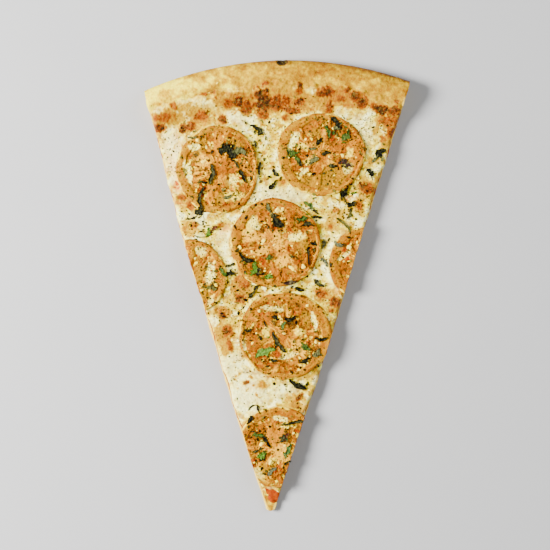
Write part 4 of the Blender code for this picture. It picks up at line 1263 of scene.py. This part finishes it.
def round_loop(name, spacing):
    """A round's outline, trimmed where it crosses a cut of the slice."""
    radius_x, radius_y = TOMATOES[name][2:4]
    low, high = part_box(name)
    pole = (low + high) / 2 / MM
    angles = np.arange(0, math.tau, spacing / max(radius_x, radius_y))
    near, far = np.zeros(len(angles)), np.full(len(angles), 60.0)
    for _ in range(24):
        reach = (near + far) / 2
        x, y = pole.x + reach * np.cos(angles), pole.y + reach * np.sin(angles)
        inside = round_reach(x, y, name)[0] < 1
        for side in (0, 1):
            distance, along = cut_inset(x, y, side)
            inside &= distance > 0.5 + 0.35 * cheese_ragged(along, side)
        near, far = np.where(inside, reach, near), np.where(inside, far, reach)
    return np.stack([pole.x + near * np.cos(angles), pole.y + near * np.sin(angles)], -1)


def make_tomato(name):
    loop = round_loop(name, 0.38)
    radius_x = TOMATOES[name][2]
    middle = loop.mean(0)
    lengths = np.linalg.norm(loop - middle, axis=1)[:, None]
    rows = [middle + (loop - middle) * (1 - inset / lengths) for inset in (0.06, 0.2, 0.45, 0.8)]

    def well_inside(x, y):
        return (round_reach(x, y, name)[0] < 1 - 1.05 / radius_x) & (nearest_cut(x, y) > 1.9)

    top_inner = np.concatenate([*rows, clear_of(hex_points(0.4, well_inside), rows[-1], 0.25)])
    low_inner = clear_of(hex_points(1.6, well_inside), loop, 0.8)
    floor = round_floor(name)

    def low(x, y):
        return np.full(len(x), floor)

    def top(x, y):
        return np.maximum(round_top(x, y, name), floor + 0.35)

    def bulge(travel, z):
        return 0.05 * noise(travel, z, 2, 83)

    obj = solid_mesh(name + "_baked", loop, top_inner, low_inner, top, low, 5, bulge)
    x, y, _ = places(obj)
    give(obj.data, "tone", round_colour(x, y, name))
    return obj


def joined(name, parts, smooth_angle=60):
    """One mesh object from (points, faces, colours) parts."""
    points, faces, tones, count = [], [], [], 0
    for part_points, part_faces, tone in parts:
        points.append(part_points)
        faces.append(np.asarray(part_faces) + count)
        tones.append(np.broadcast_to(tone, (len(part_points), 3)))
        count += len(part_points)
    obj = mesh_object(name, np.concatenate(points), np.concatenate(faces), smooth_angle=smooth_angle)
    give(obj.data, "tone", np.concatenate(tones))
    return obj


def leaf_plan(x, y, length, width, turn, tone, rng, along=21, across=11):
    """A wilted piece of leaf before it is laid down: its plan, its creases and its colours."""
    s, t = np.meshgrid(np.linspace(-1, 1, along), np.linspace(-1, 1, across), indexing="ij")
    seed = int(rng.integers(1, 9999))
    torn = 0.85 + 0.50 * noise(s * 3.1 + seed, np.sign(t) * 5 + seed, 1, seed)
    torn = torn + 0.35 * noise(s * 7.3 + seed, np.sign(t) * 9 + seed, 1, seed + 4)
    body = np.sqrt(np.clip(1 - np.abs(s) ** 2.4, 0, 1)) * (0.9 + 0.4 * noise(s * 2 + seed, 0 * s, 1, seed))
    half = width / 2 * body
    bend = 0.18 * length * rng.uniform(-1, 1) * (1 - s**2) + 0.10 * width * noise(s * 3, 0 * s + seed, 1, seed)
    lx = s * length / 2 * (1 + 0.24 * noise(t * 2.6, 0 * t + seed, 1, seed + 3))
    ly = t * half * torn + bend
    c, n = math.cos(math.radians(turn)), math.sin(math.radians(turn))
    px, py = x + lx * c - ly * n, y + lx * n + ly * c
    size = min(1.0, width / 2.5)
    ridges = 0.5 - np.abs(rough(lx + seed, ly, 2.0, seed + 1))
    rise = 0.1 + size * (0.85 * ridges + 0.22 * noise(lx, ly, 0.7, seed + 2))
    rise = rise + 0.5 * rng.uniform(0, 1) * size * np.abs(t) ** 2 + 0.3 * rng.uniform(-0.5, 1) * s * size
    base = linear(TONES[tone])
    colours = np.broadcast_to(base, (*s.shape, 3)).reshape(-1, 3).copy()
    speck = noise(lx + seed, ly, 0.8, seed + 5).ravel()
    colours = tint(colours, 0.75 * above(speck + 0.4 * noise(lx, ly, 2.2, seed + 6).ravel(), 0.25, 0.4), (7, 7, 4))
    # Painted glints: pale on the crease ridges, fainter on black leaves; the same pale also marks a lighter midrib
    pale = 0.65 * base + 0.35 * linear((160, 160, 90))
    glint_and_vein_share = 0.25 if tone == "black" else 0.55
    colours = tint(colours, glint_and_vein_share * above(ridges.ravel() + 0.3 * speck, 0.42, 0.25), np.broadcast_to(pale, colours.shape))
    vein = np.exp(-((t.ravel() / 0.14) ** 2)) * (width > 2.2)
    colours = tint(colours, 0.5 * glint_and_vein_share * vein, np.broadcast_to(pale, colours.shape))
    return px, py, rise, colours


def leaf_faces(along, across):
    """The triangles of a thin closed shell: its upper grid, its lower grid and the edge between them."""
    grid = np.arange(along * across).reshape(along, across)
    a, b, d, e = grid[:-1, :-1].ravel(), grid[1:, :-1].ravel(), grid[1:, 1:].ravel(), grid[:-1, 1:].ravel()
    faces = np.concatenate([np.stack([a, b, d], -1), np.stack([a, d, e], -1)])
    under = faces[:, ::-1] + along * across
    ring = np.concatenate([grid[:, 0], grid[-1, 1:], grid[-2::-1, -1], grid[0, -2:0:-1]])
    after = np.roll(ring, -1)
    low_ring, low_after = ring + along * across, after + along * across
    wall = np.concatenate([np.stack([ring, low_ring, low_after], -1), np.stack([ring, low_after, after], -1)])
    return np.concatenate([faces, under, wall])


def make_leaves():
    rng = np.random.default_rng(5)
    plans = []
    for row in LEAVES:
        plans.append((leaf_plan(*row, rng), 21, 11))
        x, y, length, width, turn, tone = row
        for _ in range(int(min(4, length * width / 5))):
            angle, away = rng.uniform(0, math.tau), rng.uniform(0.5, 0.9) * length
            size = rng.uniform(1.2, 2.4)
            near = ["black", "dark", tone, tone, "olive"][int(rng.integers(0, 5))]
            piece = (x + away * math.cos(angle), y + away * math.sin(angle), size, size * rng.uniform(0.35, 0.7))
            plan = leaf_plan(*piece, rng.uniform(0, 180), near, rng, 9, 5)
            if nearest_cut(plan[0], plan[1]).min() > 1.5:
                plans.append((plan, 9, 5))
    px = np.concatenate([plan[0][0].ravel() for plan in plans])
    py = np.concatenate([plan[0][1].ravel() for plan in plans])
    ground = surface(px, py)
    shells = {(21, 11): leaf_faces(21, 11), (9, 5): leaf_faces(9, 5)}
    parts, start = [], 0
    for (x, y, rise, colours), along, across in plans:
        below = ground[start : start + x.size]
        start += x.size
        z = np.maximum(below * 0.5 + below.mean() * 0.5, below - 0.3) + np.maximum(rise.ravel(), -0.1)
        upper = np.stack([x.ravel(), y.ravel(), z + 0.22], -1)
        lower = np.stack([x.ravel(), y.ravel(), z - 0.02], -1)
        parts.append((np.concatenate([upper, lower]), shells[along, across], np.tile(colours, (2, 1))))
    return joined("basil_leaves", parts)


def ball(detail):
    bm = bmesh.new()
    bmesh.ops.create_icosphere(bm, subdivisions=detail, radius=1)
    bm.verts.ensure_lookup_table()
    points = np.array([tuple(v.co) for v in bm.verts])
    faces = np.array([[v.index for v in f.verts] for f in bm.faces])
    bm.free()
    return points, faces


BALLS = {detail: ball(detail) for detail in (2, 3)}


def lump(rng, place, size, flat, lift, tone, detail):
    """A broken little lump, half sunk in what it lies on."""
    points, faces = BALLS[detail]
    seed = rng.uniform(0, 50)
    shape = points * (1 + 0.25 * noise(points[:, 0] * 1.6 + seed, points[:, 1] * 1.6 + points[:, 2], 1, 9))[:, None]
    for _ in range(6):
        facing = rng.normal(size=3)
        facing /= np.linalg.norm(facing)
        shape = shape - facing * np.maximum(shape @ facing - rng.uniform(0.5, 0.8), 0)[:, None]
    shape = shape * rng.uniform(0.75, 1.3, 3) * (1, 1, flat) * size / 2
    turn = rng.uniform(0, math.tau)
    c, s = math.cos(turn), math.sin(turn)
    moved = np.stack([shape[:, 0] * c - shape[:, 1] * s, shape[:, 0] * s + shape[:, 1] * c, shape[:, 2]], -1)
    shade = rng.uniform(0.85, 1.0)
    return moved + place + (0, 0, lift * size), faces, linear(tone) * shade


def on_surface(plan):
    """The places in plan, lifted to the height of whatever lies on top there."""
    plan = np.asarray(plan, float)
    return np.column_stack([plan, surface(*plan.T)])


def near_round(x, y, reach, soft):
    """1 inside a share of the tomato rounds' radius and 0 outside."""
    share = np.zeros_like(x)
    for name in TOMATOES:
        share = np.maximum(share, smooth((reach - round_reach(x, y, name)[0]) / soft))
    return share


def herb_density(x, y):
    """How thickly the dried herbs lie, from 0 to 1."""
    busy = [(-18, -10, 10, 14, 0, 1.0), (-40, 27, 6, 6, 0, 0.9), (37, 45, 9, 10, 0, 1.0), (-2, 76, 5, 10, 0, 0.8),
            (20, 80, 10, 5, 0, 0.7), (-16, 60, 7, 16, 0, 0.6), (45, 80, 7, 6, 0, 0.7), (2, -45, 10, 4, 0, 0.6)]
    density = 0.30 + 0.45 * near_round(x, y, 1.02, 0.1) + 0.8 * spots(x, y, busy, soft=1.6, ragged=0.5)
    density = density * (0.55 + 0.9 * smooth(rough(x, y, 7, 91) + 0.4))
    density = density * (1 - 0.8 * spots(x, y, WHITE[1:3], soft=1.2))
    density = density * (0.04 + 0.96 * smooth((rim_inset(x, y) - 15) / 8))
    return density * smooth((tip_distance(y) - 12) / 8)


def scattered(rng, wanted, density):
    """Random places on the slice, thicker where density is higher."""
    found, count = [], 0
    while count < wanted:
        x = rng.uniform(-WIDTH / 2, WIDTH / 2, 4000)
        y = rng.uniform(-LENGTH / 2, LENGTH / 2, 4000)
        inside = (nearest_cut(x, y) > 1.8) & (rim_inset(x, y) > 5)
        x, y = x[inside], y[inside]
        kept = rng.uniform(0, 1.2, len(x)) < density(x, y)
        found.append(np.stack([x[kept], y[kept]], -1))
        count += int(kept.sum())
    return np.concatenate(found)[:wanted]


def chip(rng, place, tone):
    """A flat broken flake of dried herb, some of them long and thin."""
    corners = 6
    length = min(2.8, rng.lognormal(-0.30, 0.48))
    width = min(length, max(0.35, length * rng.uniform(0.25, 0.8)))
    angles = np.linspace(0, math.tau, corners, endpoint=False) + rng.uniform(-0.3, 0.3, corners)
    radius = rng.uniform(0.7, 1.1, corners)
    edge = np.stack([np.cos(angles) * radius * length / 2, np.sin(angles) * radius * width / 2], -1)
    points = np.vstack([np.column_stack([edge, rng.uniform(-0.05, 0.08, corners)]), (0, 0, 0.16), (0, 0, -0.12)])
    points[:, 2] += points[:, 0] * rng.uniform(-0.25, 0.25)
    turn = rng.uniform(0, math.tau)
    c, s = math.cos(turn), math.sin(turn)
    moved = np.stack([points[:, 0] * c - points[:, 1] * s, points[:, 0] * s + points[:, 1] * c, points[:, 2]], -1)
    ring = np.arange(corners)
    after = np.roll(ring, -1)
    faces = np.concatenate([np.stack([ring, after, ring * 0 + corners], -1),
                            np.stack([after, ring, ring * 0 + corners + 1], -1)])
    return moved + place + (0, 0, 0.10), faces, linear(tone)


def make_flecks():
    rng = np.random.default_rng(23)
    tones = [(6, 6, 3), (26, 20, 8), (54, 50, 16), (76, 38, 10), (104, 94, 30), (84, 62, 20)]
    chosen = rng.choice(len(tones), FLECK_COUNT, p=[0.26, 0.18, 0.18, 0.10, 0.14, 0.14])
    spread = on_surface(scattered(rng, FLECK_COUNT, herb_density))
    return joined("herb_flecks", [chip(rng, place, tones[k]) for place, k in zip(spread, chosen)])


def make_crumbs():
    rng = np.random.default_rng(31)
    cream = (246, 222, 84)
    parts = []
    for (x, y, size), place in zip(CRUMBS, on_surface([crumb[:2] for crumb in CRUMBS])):
        parts.append(lump(rng, place, 0.85 * size, 0.45, 0.0, cream, 3))

    def on_rounds(x, y):
        return 0.9 * near_round(x, y, 0.84, 0.1) + 0.05

    for place in on_surface(scattered(rng, 60, on_rounds)):
        parts.append(lump(rng, place, rng.uniform(0.8, 1.8), 0.4, 0.0, cream, 2))
    return joined("cheese_crumbs", parts)


def make_seeds():
    """Seeds and bits of pulp in the rounds' seed cells."""
    rng = np.random.default_rng(47)
    tones = [GEL_YELLOW, GEL_ORANGE, GEL_RED, PULP_CREAM]
    parts = []
    for name in TOMATOES:

        def in_cells(x, y, name=name):
            ring, solid, from_skin = round_parts(x, y, name)
            return np.where(from_skin > 2.5, 1 - np.maximum(ring, solid), 0)

        many = int(11 * (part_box(name)[1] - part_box(name)[0]).xy.length / 0.064)
        for place in on_surface(scattered(rng, many, in_cells)):
            tone = tones[int(rng.integers(0, 4))]
            parts.append(lump(rng, place, rng.uniform(1.2, 2.4), 0.28, -0.02, tone, 2))
    return joined("tomato_seeds", parts)


def make_floor():
    size = 2500
    corners = np.array([(-size, -size, 0), (size, -size, 0), (size, size, 0), (-size, size, 0)])
    floor = mesh_object("floor", corners, [(0, 1, 2), (0, 2, 3)], smooth_angle=None)
    floor.data.materials.append(floor_finish())


def area_light(name, place, size, power, colour):
    light = bpy.data.lights.new(name, "AREA")
    light.shape = "DISK"
    light.size = size
    light.energy = power
    light.color = colour
    obj = bpy.data.objects.new(name, light)
    obj.location = place
    obj.rotation_euler = (-Vector(place)).to_track_quat("-Z", "Y").to_euler()
    bpy.context.scene.collection.objects.link(obj)


def make_lights_and_camera():
    area_light("key", (-0.80, 0.05, 0.65), 0.42, 57.0, (1.0, 0.985, 0.96))
    area_light("fill", (0.75, 0.35, 0.75), 0.8, 10.0, (1.0, 1.0, 1.0))
    world = bpy.data.worlds.new("studio")
    world.use_nodes = True
    world.node_tree.nodes["Background"].inputs["Color"].default_value = (0.96, 0.98, 1.0, 1)
    world.node_tree.nodes["Background"].inputs["Strength"].default_value = 0.30
    bpy.context.scene.world = world

    camera = bpy.data.cameras.new("camera")
    camera.lens = 85
    view_width = 279.0 * MM
    distance = view_width * camera.lens / camera.sensor_width
    obj = bpy.data.objects.new("camera", camera)
    obj.location = (-1.0 * MM, 5.6 * MM, distance + 6 * MM)
    bpy.context.scene.collection.objects.link(obj)
    bpy.context.scene.camera = obj


def add_piece(obj, finish, slot, *nodes):
    obj.data.materials.append(finish)
    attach(obj, "root")
    if nodes:
        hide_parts(*nodes)


make_floor()
make_lights_and_camera()
add_piece(make_dough(), dough_finish(), "dough", "dough")
add_piece(make_sauce(), sauce_finish(), "sauce", "sauce")
add_piece(make_cheese(), cheese_finish(), "cheese", "cheese")
tomato_material = tomato_finish()
for tomato in TOMATOES:
    add_piece(make_tomato(tomato), tomato_material, "tomato", tomato)
add_piece(make_leaves(), leaf_finish(), "herbs")
add_piece(make_flecks(), fleck_finish(), "herbs")
add_piece(make_crumbs(), crumb_finish(), "crumbs")
add_piece(make_seeds(), seed_finish(), "crumbs")
